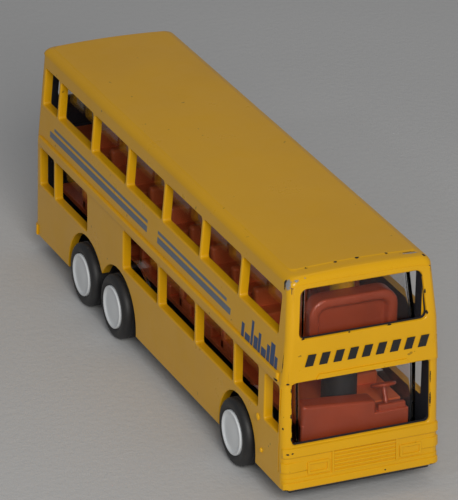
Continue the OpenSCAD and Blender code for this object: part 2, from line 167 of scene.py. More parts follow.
class BusShape:
    """The casting's outer surface: where its sides, nose and tail stand at each height."""

    def __init__(self, settings):
        self.size = Millimetres(settings.casting)
        self.window = Millimetres(settings.windows)
        self.half = self.size.body_width / 2
        self.nose = -self.size.body_length / 2
        self.tail = self.size.body_length / 2

    def side_at(self, z):
        size = self.size
        return self.half - size.tumblehome * max(0.0, z - size.waist) / (size.top - size.waist)

    def nose_at(self, z):
        size = self.size
        if z < size.waist:
            return self.nose + size.lower_rake * (z - size.body_bottom) / (size.waist - size.body_bottom)
        leaning = max(0.0, z - self.window.upper_sill) / (size.top - self.window.upper_sill)
        return self.nose + size.lower_rake - size.mask_step + size.upper_rake * leaning

    def tail_at(self, z):
        size = self.size
        return self.tail - size.rear_rake * (z - size.body_bottom) / (size.top - size.body_bottom)

    def outline(self, z, inset=0.0, end_inset=None, radius=None, across=8, nose_inset=None):
        """Plan outline at height z, counter-clockwise from the tail's +X corner."""
        end_inset = inset if end_inset is None else end_inset
        nose_inset = end_inset if nose_inset is None else nose_inset
        radii = [max(0.4, corner - inset) if radius is None else min(radius, corner)
                 for corner in (self.size.corner, self.size.nose_corner)]
        half = self.side_at(z) - inset
        front = self.nose_at(z) + nose_inset
        back = self.tail_at(z) - end_inset
        points = []
        for turn, (x, y) in enumerate([(half, back), (-half, back), (-half, front), (half, front)]):
            radius = radii[turn // 2]
            centre_x = x - math.copysign(radius, x)
            centre_y = y - math.copysign(radius, y)
            for step in range(ROUND + 1):
                angle = math.pi / 2 * (turn + step / ROUND)
                points.append(Vector((centre_x + radius * math.cos(angle), centre_y + radius * math.sin(angle), z)))
            if turn in (0, 2):  # the end walls carry points across, so that the roof can be crowned
                run = 2 * abs(centre_x)
                for step in range(1, across):
                    along = centre_x - math.copysign(run * step / across, centre_x)
                    points.append(Vector((along, y, z)))
        return points

    def on_nose(self, point):
        """Takes a point whose y is measured from the nose's surface to its place."""
        point.y += self.nose_at(point.z)

    def on_tail(self, point):
        point.y += self.tail_at(point.z)

    def on_side(self, side):
        """The same for a side wall: x is measured outwards from its surface."""
        def place(point):
            point.x = side * (self.side_at(point.z) + point.x)
        return place

    def side_windows(self):
        """Setback from the nose and length of each upper window, from the front."""
        window = self.window
        columns = int((self.size.body_length - window.first - window.last) / window.pitch)
        found = [(window.first + window.pitch * column, window.pitch - window.pillar) for column in range(columns)]
        start = window.first + window.pitch * columns
        found.append((start, self.size.body_length - window.last - start))
        return found


DOOR_SETBACK = 1.9
DOOR_LENGTH = 7.4
DOOR_FRAME = 0.7
DOOR_DROP = 1.1
BLANK_COLUMN = 4
FRONT_AXLE = 20.0
MIDDLE_AXLE = 76.5
REAR_AXLE = 92.2
POSTS = (10.4, 109.6)
POST_RADIUS = 2.2
POST_END = 17.0
NOSE_SHIFT = 0.65  # the lamps and the grille stand a little off the middle


# ---------------------------------------------------------------- mesh helpers


def loft(mesh, rings, closed=False, caps=True, surface=0):
    """Skins closed rings that have the same number of points, from the first ring to the last."""
    around, along = len(rings[0]), len(rings)
    rows = along if closed else along - 1
    grid = bmesh.ops.create_grid(mesh, x_segments=around, y_segments=rows, size=1.0)["verts"]
    low_x, high_x = min(v.co.x for v in grid), max(v.co.x for v in grid)
    low_y, high_y = min(v.co.y for v in grid), max(v.co.y for v in grid)
    for vert in grid:
        column = round((vert.co.x - low_x) / (high_x - low_x) * around) % around
        row = round((vert.co.y - low_y) / (high_y - low_y) * rows) % along
        vert.co = rings[row][column]
    for face in {f for v in grid for f in v.link_faces}:
        face.material_index = surface
    bmesh.ops.remove_doubles(mesh, verts=grid, dist=1e-5)
    if caps and not closed:
        rims = {e for v in grid if v.is_valid for e in v.link_edges if e.is_boundary}
        for face in bmesh.ops.holes_fill(mesh, edges=list(rims), sides=0)["faces"]:
            face.material_index = surface


def block(mesh, low, high, radius=0.0, segments=2, place=None, surface=0, turn=None):
    """A box between two corners with all its edges rounded."""
    low, high = Vector(low), Vector(high)
    matrix = Matrix.LocRotScale((low + high) / 2, turn, high - low)
    verts = bmesh.ops.create_cube(mesh, size=1.0, matrix=matrix)["verts"]
    faces = {f for v in verts for f in v.link_faces}
    if radius > 0:
        edges = list({e for v in verts for e in v.link_edges})
        made = bmesh.ops.bevel(mesh, geom=edges, offset=radius, offset_type="OFFSET", segments=segments,
                               profile=0.5, affect="EDGES", clamp_overlap=True, material=-1)
        faces = {f for f in faces if f.is_valid} | set(made["faces"])
    verts = {v for f in faces for v in f.verts}
    for face in faces:
        face.material_index = surface
    if place:
        for vert in verts:
            place(vert.co)
    return verts


def disc_rings(centre, axis, radii_and_heights, steps=32):
    """Rings round an axis: each has a radius and a distance along the axis."""
    turn = Vector(axis).to_track_quat("Z", "Y")
    rings = []
    for radius, along in radii_and_heights:
        ring = []
        for step in range(steps):
            angle = 2 * math.pi * step / steps
            ring.append(Vector(centre) + turn @ Vector((radius * math.cos(angle), radius * math.sin(angle), along)))
        rings.append(ring)
    return rings


def turned(mesh, profile, centre, axis_x, steps=48, surface=0):
    """Spins a profile of (radius, distance outwards) round an axis along X that points to axis_x."""
    verts = [mesh.verts.new((centre[0] + axis_x * along, centre[1], centre[2] + radius)) for radius, along in profile]
    edges = [mesh.edges.new(pair) for pair in zip(verts, verts[1:])]
    made = bmesh.ops.spin(mesh, geom=verts + edges, cent=centre, axis=(1, 0, 0), dvec=(0, 0, 0),
                          angle=2 * math.pi, steps=steps, use_merge=True, use_duplicate=False)
    touched = {v for v in made["geom_last"] if isinstance(v, bmesh.types.BMVert)} | set(verts)
    bmesh.ops.remove_doubles(mesh, verts=[v for v in mesh.verts if v.is_valid], dist=1e-4)
    for face in mesh.faces:
        face.material_index = surface
    return touched


def rounded_outline(width, height, radius, grow=0.0):
    """Points of a rounded rectangle round the origin, grown outwards all round."""
    half_w, half_h = width / 2 + grow, height / 2 + grow
    radius = max(0.05, radius + grow)
    points = []
    for turn, (x, y) in enumerate([(1, 1), (-1, 1), (-1, -1), (1, -1)]):
        for step in range(ROUND + 1):
            angle = math.pi / 2 * (turn + step / ROUND)
            points.append((x * (half_w - radius) + radius * math.cos(angle),
                           y * (half_h - radius) + radius * math.sin(angle)))
    return points


def flared_cut(mesh, outline, place, edge, depth, draft=0.12, surface=0, lining=None):
    """A cutter that opens through a wall with a rounded outer edge.

    outline(grow) gives flat points, and place(u, v, inwards) takes them to the wall.
    Beyond the depth of lining the cut takes the near-black inside material, a painted shade in the windscreen jambs.
    """
    stations = [(-0.7, edge), (-0.02, edge)]
    for step in range(1, 5):
        angle = math.pi / 2 * step / 4
        stations.append((edge * (1 - math.cos(angle)), edge * (1 - math.sin(angle))))
    if lining:
        stations.append((edge + lining, -draft * 0.3))
    stations.append((depth, -draft))
    rings = [[place(u, v, inwards) for u, v in outline(grow)] for inwards, grow in stations]
    before = set(mesh.faces)
    loft(mesh, rings, surface=surface)
    if lining:
        # faces past the lining get the near-black inside material: a painted shade
        deep = {point.to_tuple(4) for ring in rings[-2:] for point in ring}
        for face in set(mesh.faces) - before:
            if all(vert.co.to_tuple(4) in deep for vert in face.verts):
                face.material_index = 1


def temporary(mesh, name, materials, context):
    """An object in millimetres for the boolean steps."""
    bmesh.ops.recalc_face_normals(mesh, faces=mesh.faces)
    data = bpy.data.meshes.new(name)
    mesh.to_mesh(data)
    mesh.free()
    obj = bpy.data.objects.new(name, data)
    for material in materials:
        data.materials.append(material)
    context.scene.collection.objects.link(obj)
    return obj


def combine(target, tools, operation, context):
    """Adds the tools to the target or cuts them out of it, and removes them."""
    group = bpy.data.collections.new("tools")
    context.scene.collection.children.link(group)
    for tool in tools:
        group.objects.link(tool)
    modifier = target.modifiers.new(operation.title(), "BOOLEAN")
    modifier.operation = operation
    modifier.operand_type = "COLLECTION"
    modifier.collection = group
    modifier.solver = "EXACT"
    context.view_layer.update()
    graph = context.evaluated_depsgraph_get()
    done = bpy.data.meshes.new_from_object(target.evaluated_get(graph), depsgraph=graph)
    before = target.data
    target.modifiers.clear()
    target.data = done
    bpy.data.meshes.remove(before)
    for tool in tools:
        data = tool.data
        bpy.data.objects.remove(tool)
        bpy.data.meshes.remove(data)
    bpy.data.collections.remove(group)
    if not target.data.polygons:
        raise RuntimeError(f"{target.name} lost its faces in {operation}")


def finish_piece(mesh, name, body, materials, context, replaces=(), sharp=32.0, weighted=True):
    """Turns a mesh in millimetres into a finished piece that rides on a body."""
    bmesh.ops.remove_doubles(mesh, verts=mesh.verts, dist=1e-4)
    bmesh.ops.dissolve_degenerate(mesh, edges=mesh.edges, dist=1e-5)
    bmesh.ops.recalc_face_normals(mesh, faces=mesh.faces)
    bmesh.ops.scale(mesh, vec=(MM, MM, MM), verts=mesh.verts)
    limit = math.radians(sharp)
    for face in mesh.faces:
        face.smooth = True
    for edge in mesh.edges:
        edge.smooth = len(edge.link_faces) == 2 and edge.calc_face_angle(0.0) < limit
    data = bpy.data.meshes.new(name)
    mesh.to_mesh(data)
    mesh.free()
    obj = bpy.data.objects.new(name, data)
    for material in materials:
        data.materials.append(material)
    context.scene.collection.objects.link(obj)
    if weighted:
        modifier = obj.modifiers.new("Weighted normals", "WEIGHTED_NORMAL")
        modifier.keep_sharp = True
    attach(obj, body)
    if replaces:
        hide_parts(*replaces)
    return obj


# ---------------------------------------------------------------- shader node groups and materials


def node_group(name, inputs, output, output_type):
    """A shader node group with named inputs and one named output, or None if it is there already."""
    if name in bpy.data.node_groups:
        return None
    tree = bpy.data.node_groups.new(name, "ShaderNodeTree")
    for label, kind, default in inputs:
        socket = tree.interface.new_socket(name=label, in_out="INPUT", socket_type=kind)
        if default is not None:
            socket.default_value = default
    tree.interface.new_socket(name=output, in_out="OUTPUT", socket_type=output_type)
    return tree


class Wiring:
    """Short ways to place and join nodes in a tree."""

    def __init__(self, tree):
        self.tree = tree

    def node(self, kind, **settings):
        made = self.tree.nodes.new(kind)
        for name, value in settings.items():
            setattr(made, name, value)
        return made

    def feed(self, socket, value):
        if isinstance(value, bpy.types.NodeSocket):
            self.tree.links.new(value, socket)
        else:
            socket.default_value = value

    def math(self, operation, first, second=0.0, third=None, clamp=False):
        made = self.node("ShaderNodeMath", operation=operation, use_clamp=clamp)
        self.feed(made.inputs[0], first)
        self.feed(made.inputs[1], second)
        if third is not None:
            self.feed(made.inputs[2], third)
        return made.outputs[0]

    def vector(self, operation, first, second=(0, 0, 0)):
        made = self.node("ShaderNodeVectorMath", operation=operation)
        self.feed(made.inputs[0], first)
        self.feed(made.inputs[1], second)
        return made.outputs["Value"] if operation in ("LENGTH", "DOT_PRODUCT", "DISTANCE") else made.outputs[0]

    def ramp(self, value, low, high):
        """0 below low and 1 above high."""
        made = self.node("ShaderNodeMapRange", interpolation_type="SMOOTHSTEP", clamp=True)
        self.feed(made.inputs["Value"], value)
        self.feed(made.inputs["From Min"], low)
        self.feed(made.inputs["From Max"], high)
        return made.outputs["Result"]

    def noise(self, vector, scale, detail=3.0, roughness=0.5, distortion=0.0):
        made = self.node("ShaderNodeTexNoise")
        self.feed(made.inputs["Vector"], vector)
        for label, value in (("Scale", scale), ("Detail", detail), ("Roughness", roughness),
                             ("Distortion", distortion)):
            self.feed(made.inputs[label], value)
        return made.outputs["Fac"]

    def mix(self, factor, first, second, blend="MIX"):
        made = self.node("ShaderNodeMix", data_type="RGBA", blend_type=blend)
        self.feed(made.inputs["Factor"], factor)
        for socket, value in ((made.inputs[6], first), (made.inputs[7], second)):
            self.feed(socket, value if isinstance(value, bpy.types.NodeSocket) else (*value[:3], 1.0))
        return made.outputs[2]

    def blend(self, factor, first, second):
        """A number between first and second."""
        made = self.node("ShaderNodeMix", data_type="FLOAT")
        self.feed(made.inputs["Factor"], factor)
        self.feed(made.inputs[2], first)
        self.feed(made.inputs[3], second)
        return made.outputs[0]

    def group(self, name, **values):
        made = self.node("ShaderNodeGroup", node_tree=bpy.data.node_groups[name])
        for label, value in values.items():
            self.feed(made.inputs[label.replace("_", " ")], value)
        return made.outputs[0]

    def position(self):
        return self.node("ShaderNodeTexCoord").outputs["Object"]


def build_node_groups():
    """Builds each shared effect once."""
    tree = node_group("Surface grain", [("Position", "NodeSocketVector", None), ("Scale", "NodeSocketFloat", 2000.0),
                                        ("Waviness", "NodeSocketFloat", 0.5)], "Height", "NodeSocketFloat")
    if tree:
        w = Wiring(tree)
        start, end = w.node("NodeGroupInput"), w.node("NodeGroupOutput")
        fine = w.noise(start.outputs["Position"], start.outputs["Scale"], 2.0)
        coarse = w.noise(start.outputs["Position"], w.math("MULTIPLY", start.outputs["Scale"], 0.17), 2.0)
        waves = w.math("MULTIPLY", coarse, start.outputs["Waviness"])
        w.feed(end.inputs["Height"], w.math("ADD", fine, waves))

    tree = node_group("Edge wear", [("Position", "NodeSocketVector", None), ("Radius", "NodeSocketFloat", 0.0003),
                                    ("Amount", "NodeSocketFloat", 0.3), ("Scale", "NodeSocketFloat", 900.0)],
                      "Mask", "NodeSocketFloat")
    if tree:
        w = Wiring(tree)
        start, end = w.node("NodeGroupInput"), w.node("NodeGroupOutput")
        rounded = w.node("ShaderNodeBevel", samples=6)
        w.feed(rounded.inputs["Radius"], start.outputs["Radius"])
        flat = w.node("ShaderNodeNewGeometry").outputs["Normal"]
        bend = w.math("SUBTRACT", 1.0, w.vector("DOT_PRODUCT", rounded.outputs[0], flat))
        edge = w.ramp(bend, 0.02, 0.12)
        ragged = w.noise(start.outputs["Position"], start.outputs["Scale"], 4.0, 0.65)
        limit = w.math("SUBTRACT", 0.9, w.math("MULTIPLY", start.outputs["Amount"], 0.5))
        broken = w.ramp(ragged, limit, w.math("ADD", limit, 0.03))
        w.feed(end.inputs["Mask"], w.math("MULTIPLY", edge, broken))

    tree = node_group("Paint chip", [("Position", "NodeSocketVector", None), ("Centre", "NodeSocketVector", None),
                                     ("Size", "NodeSocketVector", None), ("Ragged", "NodeSocketFloat", 0.6)],
                      "Mask", "NodeSocketFloat")
    if tree:
        w = Wiring(tree)
        start, end = w.node("NodeGroupInput"), w.node("NodeGroupOutput")
        offset = w.vector("SUBTRACT", start.outputs["Position"], start.outputs["Centre"])
        reach = w.vector("LENGTH", w.vector("DIVIDE", offset, start.outputs["Size"]))
        ragged = w.math("SUBTRACT", w.noise(start.outputs["Position"], 3600.0, 4.0, 0.7), 0.5)
        torn = w.math("ADD", reach, w.math("MULTIPLY", w.math("MULTIPLY", ragged, 4.0), start.outputs["Ragged"]))
        w.feed(end.inputs["Mask"], w.math("SUBTRACT", 1.0, w.ramp(torn, 0.9, 1.05)))

    tree = node_group("Handling dust", [("Position", "NodeSocketVector", None), ("Scale", "NodeSocketFloat", 60.0),
                                        ("Amount", "NodeSocketFloat", 0.3)], "Mask", "NodeSocketFloat")
    if tree:
        w = Wiring(tree)
        start, end = w.node("NodeGroupInput"), w.node("NodeGroupOutput")
        broad = w.noise(start.outputs["Position"], start.outputs["Scale"], 5.0, 0.6)
        speck = w.noise(start.outputs["Position"], w.math("MULTIPLY", start.outputs["Scale"], 22.0), 2.0, 0.6)
        upward = w.node("ShaderNodeSeparateXYZ")
        w.feed(upward.inputs[0], w.node("ShaderNodeNewGeometry").outputs["Normal"])
        settled = w.ramp(upward.outputs["Z"], -0.2, 1.0)
        cloud = w.ramp(broad, 0.35, 0.75)
        dots = w.ramp(speck, 0.69, 0.74)
        total = w.math("ADD", w.math("MULTIPLY", cloud, 0.5), w.math("MULTIPLY", dots, settled))
        w.feed(end.inputs["Mask"], w.math("MULTIPLY", total, start.outputs["Amount"], clamp=True))


def new_material(name):
    """An empty material with its Principled shader wired to the output, or None if it is there already."""
    if name in bpy.data.materials:
        return bpy.data.materials[name], None, None
    material = bpy.data.materials.new(name)
    material.use_nodes = True
    material.node_tree.nodes.clear()
    wiring = Wiring(material.node_tree)
    shader = wiring.node("ShaderNodeBsdfPrincipled")
    output = wiring.node("ShaderNodeOutputMaterial")
    wiring.feed(output.inputs["Surface"], shader.outputs[0])
    return material, wiring, shader


def bump(wiring, shader, height, distance, strength=1.0):
    made = wiring.node("ShaderNodeBump")
    wiring.feed(made.inputs["Height"], height)
    made.inputs["Distance"].default_value = distance
    made.inputs["Strength"].default_value = strength
    wiring.feed(shader.inputs["Normal"], made.outputs[0])


# Where the enamel has chipped: centre, reach along each axis, and whether bright metal or the dark primer shows.
CHIPS = [
    ((-13.5, -56.5, 42.1), (0.42, 0.62, 1.4), "bright"),
    ((-13.75, -55.8, 42.3), (0.30, 0.42, 1.5), "dark"),
    ((-12.5, -57.2, 42.9), (0.75, 0.35, 0.26), "bright"),
    ((-10.6, -57.1, 43.1), (0.5, 0.30, 0.16), "bright"),
    ((-9.2, -54.3, 43.8), (0.34, 0.22, 0.30), "dark"),
    ((-3.6, -54.2, 43.9), (0.36, 0.22, 0.30), "dark"),
    ((0.6, -54.1, 43.9), (0.36, 0.22, 0.30), "dark"),
    ((6.2, -54.1, 43.9), (0.30, 0.22, 0.30), "dark"),
    ((10.6, -55.0, 43.6), (1.7, 0.20, 0.40), "bright"),
    ((10.3, -54.6, 43.7), (1.5, 0.16, 0.40), "dark"),
    ((12.6, -56.0, 43.2), (0.30, 0.35, 0.45), "dark"),
    ((-13.45, -59.0, 22.7), (0.22, 0.5, 0.40), "dark"),
    ((-13.38, -59.1, 20.4), (0.14, 0.5, 1.1), "dark"),
    ((-13.45, -59.3, 17.9), (0.24, 0.5, 0.5), "dark"),
    ((-13.38, -59.3, 15.6), (0.13, 0.5, 0.9), "dark"),
    ((-13.42, -59.4, 13.6), (0.2, 0.5, 0.35), "dark"),
    ((13.40, -59.1, 20.9), (0.12, 0.5, 1.2), "dark"),
    ((13.42, -59.2, 16.6), (0.13, 0.5, 1.4), "dark"),
    ((-14.9, -59.0, 19.3), (0.22, 0.3, 0.25), "dark"),
    ((-14.85, -58.9, 17.9), (0.16, 0.25, 0.3), "dark"),
    ((-14.9, -58.8, 15.6), (0.16, 0.25, 0.22), "dark"),
    ((-14.35, -59.9, 10.95), (0.28, 0.3, 0.18), "dark"),
    ((-13.4, -60.0, 11.0), (0.22, 0.3, 0.16), "dark"),
    ((-13.9, -59.8, 7.6), (0.12, 0.3, 0.12), "dark"),
    ((-14.3, -59.0, 24.2), (0.3, 0.3, 0.16), "dark"),
    ((-15.55, -56.6, 24.3), (0.3, 0.6, 0.30), "dark"),
    ((-14.95, -57.95, 28.3), (0.3, 0.11, 2.2), "dark"),
    ((-14.95, -57.6, 34.4), (0.2, 0.14, 0.16), "dark"),
    ((-11.6, -58.8, 32.35), (0.5, 0.3, 0.09), "dark"),
    ((-2.7, -58.9, 32.25), (0.2, 0.3, 0.08), "dark"),
    ((5.0, -58.9, 32.3), (0.5, 0.3, 0.08), "dark"),
    ((12.3, -58.6, 33.4), (0.18, 0.5, 0.4), "dark"),
    ((12.0, -58.3, 37.2), (0.14, 0.5, 0.5), "dark"),
    ((4.5, -60.2, 4.7), (0.16, 0.3, 0.14), "dark"),
    ((-14.4, -59.9, 4.05), (0.6, 0.5, 0.2), "dark"),
    ((13.6, -59.9, 4.1), (0.8, 0.5, 0.16), "dark"),
]


def enamel_material(colours, inside=False):
    """Gloss enamel with chips, worn edges and specks; inside gives the near-black inner walls, a painted shade."""
    if inside:
        # the casting's inner walls: a near-black painted shade with a faint stain
        material, w, shader = new_material("Casting inside")
        if w:
            at = w.position()
            stain = w.noise(at, 240.0, 4.0, 0.6)
            base = w.mix(stain, colours.inside, [part * 2.2 for part in colours.inside])
            w.feed(shader.inputs["Base Color"], base)
            w.feed(shader.inputs["Roughness"], w.blend(stain, 0.55, 0.8))
            shader.inputs["Metallic"].default_value = 0.0
            bump(w, shader, w.group("Surface grain", Position=at, Scale=1400.0, Waviness=0.6), 0.00004)
        return material
    material, w, shader = new_material("Yellow enamel")
    if not w:
        return material
    at = w.position()
    masks = {"bright": None, "dark": None}
    for centre, reach, kind in CHIPS:
        chip = w.group("Paint chip", Position=at, Centre=[c * MM for c in centre], Size=[r * MM for r in reach],
                       Ragged=0.55)
        masks[kind] = chip if masks[kind] is None else w.math("MAXIMUM", masks[kind], chip)
    worn = w.group("Edge wear", Position=at, Radius=0.00028, Amount=0.42, Scale=800.0)
    dark = w.math("MAXIMUM", masks["dark"], worn)
    specks = w.noise(at, 620.0, 2.0, 0.5)
    pits = w.ramp(specks, 0.745, 0.765)
    shade = w.noise(at, 34.0, 4.0, 0.55)
    warm = w.mix(w.ramp(shade, 0.3, 0.7), colours.enamel,
                 (colours.enamel[0] * 0.94, colours.enamel[1] * 0.93, colours.enamel[2] * 1.2))
    dusty = w.group("Handling dust", Position=at, Scale=46.0, Amount=0.05)
    paint = w.mix(dusty, warm, (0.50, 0.38, 0.14))
    paint = w.mix(w.math("MULTIPLY", pits, 0.55), paint, (0.16, 0.085, 0.01))
    paint = w.mix(dark, paint, (0.022, 0.018, 0.016))
    paint = w.mix(masks["bright"], paint, colours.bare)
    w.feed(shader.inputs["Base Color"], paint)
    w.feed(shader.inputs["Metallic"], w.math("MULTIPLY", masks["bright"], 0.55))
    smear = w.noise(at, 120.0, 5.0, 0.6)
    rough = w.blend(w.ramp(smear, 0.3, 0.75), 0.27, 0.40)
    w.feed(shader.inputs["Roughness"], w.math("ADD", rough, w.math("MULTIPLY", dark, 0.35), clamp=True))
    w.feed(shader.inputs["Coat Weight"], w.math("SUBTRACT", 0.26, w.math("MULTIPLY", dark, 0.26), clamp=True))
    shader.inputs["Coat Roughness"].default_value = 0.09
    shader.inputs["Coat IOR"].default_value = 1.4
    shader.inputs["Specular IOR Level"].default_value = 0.26
    peel = w.group("Surface grain", Position=at, Scale=520.0, Waviness=1.4)
    height = w.math("SUBTRACT", peel, w.math("MULTIPLY", w.math("MAXIMUM", dark, masks["bright"]), 4.0))
    bump(w, shader, height, 0.00002, 0.8)
    return material


def plastic_material(name, base, roughness, grain, dust, coat=0.0, tone=0.82, scatter=0.0):
    """Moulded plastic or rubber: a fine grain, slow change of tone, dust, and polished or scuffed edges."""
    material, w, shader = new_material(name)
    if not w:
        return material
    at = w.position()
    cloud = w.noise(at, 90.0, 4.0, 0.55)
    body = w.mix(w.ramp(cloud, 0.3, 0.72), base, [part * tone for part in base])
    dusty = w.group("Handling dust", Position=at, Scale=70.0, Amount=dust)
    body = w.mix(dusty, body, (0.42, 0.40, 0.37))
    edge = w.group("Edge wear", Position=at, Radius=0.0002, Amount=0.9, Scale=600.0)
    body = w.mix(w.math("MULTIPLY", edge, 0.35), body, [min(1.0, part * 1.6 + 0.02) for part in base])
    w.feed(shader.inputs["Base Color"], body)
    smear = w.noise(at, 210.0, 4.0, 0.6)
    w.feed(shader.inputs["Roughness"], w.blend(smear, roughness - 0.08, roughness + 0.1))
    shader.inputs["Coat Weight"].default_value = coat
    shader.inputs["Coat Roughness"].default_value = 0.15
    shader.inputs["Specular IOR Level"].default_value = 0.5
    if scatter:
        shader.inputs["Subsurface Weight"].default_value = scatter
        shader.inputs["Subsurface Radius"].default_value = (0.001, 0.0008, 0.0006)
        shader.inputs["Subsurface Scale"].default_value = 0.6
    bump(w, shader, w.group("Surface grain", Position=at, Scale=grain, Waviness=0.8), 0.000012, 0.7)
    return material


def steel_material():
    """Bright wire and screws, brushed round and lightly stained."""
    material, w, shader = new_material("Bright steel")
    if not w:
        return material
    at = w.position()
    stretched = w.node("ShaderNodeMapping")
    stretched.inputs["Scale"].default_value = (900.0, 6000.0, 6000.0)
    w.feed(stretched.inputs["Vector"], at)
    lines = w.noise(stretched.outputs[0], 1.0, 2.0)
    stain = w.ramp(w.noise(at, 420.0, 5.0, 0.65), 0.48, 0.8)
    w.feed(shader.inputs["Base Color"], w.mix(stain, (0.60, 0.60, 0.61), (0.33, 0.28, 0.23)))
    shader.inputs["Metallic"].default_value = 1.0
    w.feed(shader.inputs["Roughness"], w.math("ADD", w.blend(lines, 0.2, 0.38), w.math("MULTIPLY", stain, 0.25)))
    bump(w, shader, lines, 0.000008, 0.6)
    return material


def glass_material():
    """Clear moulded plastic that lets light through to the seats."""
    material, w, shader = new_material("Clear glazing")
    if not w:
        return material
    at = w.position()
    smear = w.ramp(w.noise(at, 160.0, 5.0, 0.65, 0.4), 0.42, 0.78)
    scratch_place = w.node("ShaderNodeMapping")
    scratch_place.inputs["Rotation"].default_value = (0.5, 0.2, 0.4)
    scratch_place.inputs["Scale"].default_value = (300.0, 2600.0, 260.0)
    w.feed(scratch_place.inputs["Vector"], at)
    scratch = w.ramp(w.noise(scratch_place.outputs[0], 1.0, 3.0, 0.6), 0.66, 0.72)
    shader.inputs["Transmission Weight"].default_value = 1.0
    shader.inputs["IOR"].default_value = 1.27
    shader.inputs["Metallic"].default_value = 0.0
    w.feed(shader.inputs["Base Color"], w.mix(smear, (0.90, 0.905, 0.91), (0.80, 0.80, 0.81)))
    w.feed(shader.inputs["Roughness"], w.math("ADD", w.math("MULTIPLY", smear, 0.05),
                                              w.math("MULTIPLY", scratch, 0.16), clamp=True))
    bump(w, shader, w.noise(at, 130.0, 3.0), 0.00002, 0.4)
    output = next(n for n in material.node_tree.nodes if n.type == "OUTPUT_MATERIAL")
    path = w.node("ShaderNodeLightPath")
    clear = w.node("ShaderNodeBsdfTransparent")
    clear.inputs["Color"].default_value = (0.86, 0.86, 0.87, 1.0)
    choose = w.node("ShaderNodeMixShader")
    indirect = w.math("MAXIMUM", path.outputs["Is Shadow Ray"], path.outputs["Is Diffuse Ray"])
    w.feed(choose.inputs[0], indirect)
    w.feed(choose.inputs[1], shader.outputs[0])
    w.feed(choose.inputs[2], clear.outputs[0])
    w.feed(output.inputs["Surface"], choose.outputs[0])
    return material


def print_material(name, ink, wear):
    """Ink printed on the enamel: a little uneven, with pinholes."""
    material, w, shader = new_material(name)
    if not w:
        return material
    at = w.position()
    thin = w.ramp(w.noise(at, 1500.0, 4.0, 0.6), 0.62, 0.80)
    cloud = w.noise(at, 260.0, 3.0)
    tone = w.mix(cloud, ink, [part * 1.35 + 0.004 for part in ink])
    w.feed(shader.inputs["Base Color"], w.mix(w.math("MULTIPLY", thin, wear), tone, (0.62, 0.34, 0.02)))
    w.feed(shader.inputs["Roughness"], w.blend(cloud, 0.34, 0.5))
    bump(w, shader, w.group("Surface grain", Position=at, Scale=700.0, Waviness=0.6), 0.00001, 0.5)
    return material


def floor_material(colours):
    """Plain pale paper."""
    material, w, shader = new_material("Pale floor")
    if not w:
        return material
    at = w.position()
    fibre = w.noise(at, 700.0, 4.0, 0.65)
    broad = w.noise(at, 9.0, 3.0, 0.5)
    tone = w.mix(w.ramp(broad, 0.3, 0.7), colours.floor, [part * 0.95 for part in colours.floor])
    w.feed(shader.inputs["Base Color"], w.mix(w.math("MULTIPLY", fibre, 0.12), tone, (0.72, 0.72, 0.72)))
    w.feed(shader.inputs["Roughness"], w.blend(fibre, 0.75, 0.95))
    bump(w, shader, w.math("ADD", fibre, broad), 0.00025, 0.5)
    return material


def finishes(context):
    """All the bus's materials by name."""
    build_node_groups()
    c = context.scene.toy_bus.colours
    plain = {name: tuple(getattr(c, name)) for name in ("plastic", "seats", "black", "rubber", "hub", "navy", "grey")}
    return {
        "enamel": enamel_material(c),
        # the inner walls' near-black material is a painted shade
        "inside": enamel_material(c, inside=True),
        # darker orange copy is painted shade, brighter seat copy is painted light, of one plastic
        "plastic": plastic_material("Orange plastic", plain["plastic"], 0.36, 900.0, 0.04),
        "seats": plastic_material("Orange seat plastic", plain["seats"], 0.38, 900.0, 0.04),
        "black": plastic_material("Black plastic", plain["black"], 0.48, 1300.0, 0.10, tone=1.3),
        "rubber": plastic_material("Black rubber", plain["rubber"], 0.52, 1700.0, 0.10, tone=1.4),
        "hub": plastic_material("White plastic", plain["hub"], 0.36, 800.0, 0.10, coat=0.1, tone=0.93),
        "steel": steel_material(),
        "glass": glass_material(),
        "black_ink": print_material("Black print", (0.010, 0.009, 0.009), 0.12),
        "navy_ink": print_material("Navy print", plain["navy"], 0.25),
        "grey_ink": print_material("Grey blue print", plain["grey"], 0.45),
    }


# ---------------------------------------------------------------- the painted casting


def outer_block(shape):
    """The casting's outside as one closed block, with its round roof edges and its crowned roof."""
    size = shape.size
    mesh = bmesh.new()
    rings = []
    lip = 0.25
    for inset, z in ((lip, size.body_bottom), (lip * 0.3, size.body_bottom + lip * 0.3),
                     (0, size.body_bottom + lip)):
        rings.append(shape.outline(z, inset))
    for z in (8.0, 14.0, 20.0, size.waist - 0.04, size.waist + 0.01, 28.0, shape.window.upper_sill, 36.0):
        rings.append(shape.outline(z))
    roof_radius, brow = size.roof_edge, 1.25  # the brow is the front's own, tighter rounding
    spring = size.top - size.crown - roof_radius
    rings.append(shape.outline(spring))
    half_top = shape.side_at(spring)

    def crowned(ring, share):
        for point in ring:
            point.z += size.crown * share * max(0.0, 1 - (point.x / half_top) ** 2)
        return ring

    steps = 8
    for step in range(1, steps):
        angle = math.radians(80) * step / (steps - 1)
        turn = 1 - math.cos(angle)
        z = spring + (roof_radius - 0.16) * math.sin(angle)
        rings.append(crowned(shape.outline(z, roof_radius * turn, radius=1.6 - 0.5 * turn, nose_inset=brow * turn),
                             step / steps))
    # a fine crease, then the flat panel of the roof
    for inset, nose_inset, rise in ((1.42, 2.0, 0.03), (1.5, 3.0, 0.04), (1.6, 3.14, 0.14), (1.78, 3.35, 0.18),
                                    (3.2, 5.0, 0.19), (6.0, 8.0, 0.19), (9.0, 11.0, 0.19), (11.5, 14.0, 0.19)):
        ring = shape.outline(z, inset, radius=max(0.5, 1.5 - 0.1 * inset), nose_inset=nose_inset)
        for point in ring:
            point.z = min(z + rise, size.top - size.crown)
        rings.append(crowned(ring, 1.0))
    loft(mesh, rings)
    return mesh


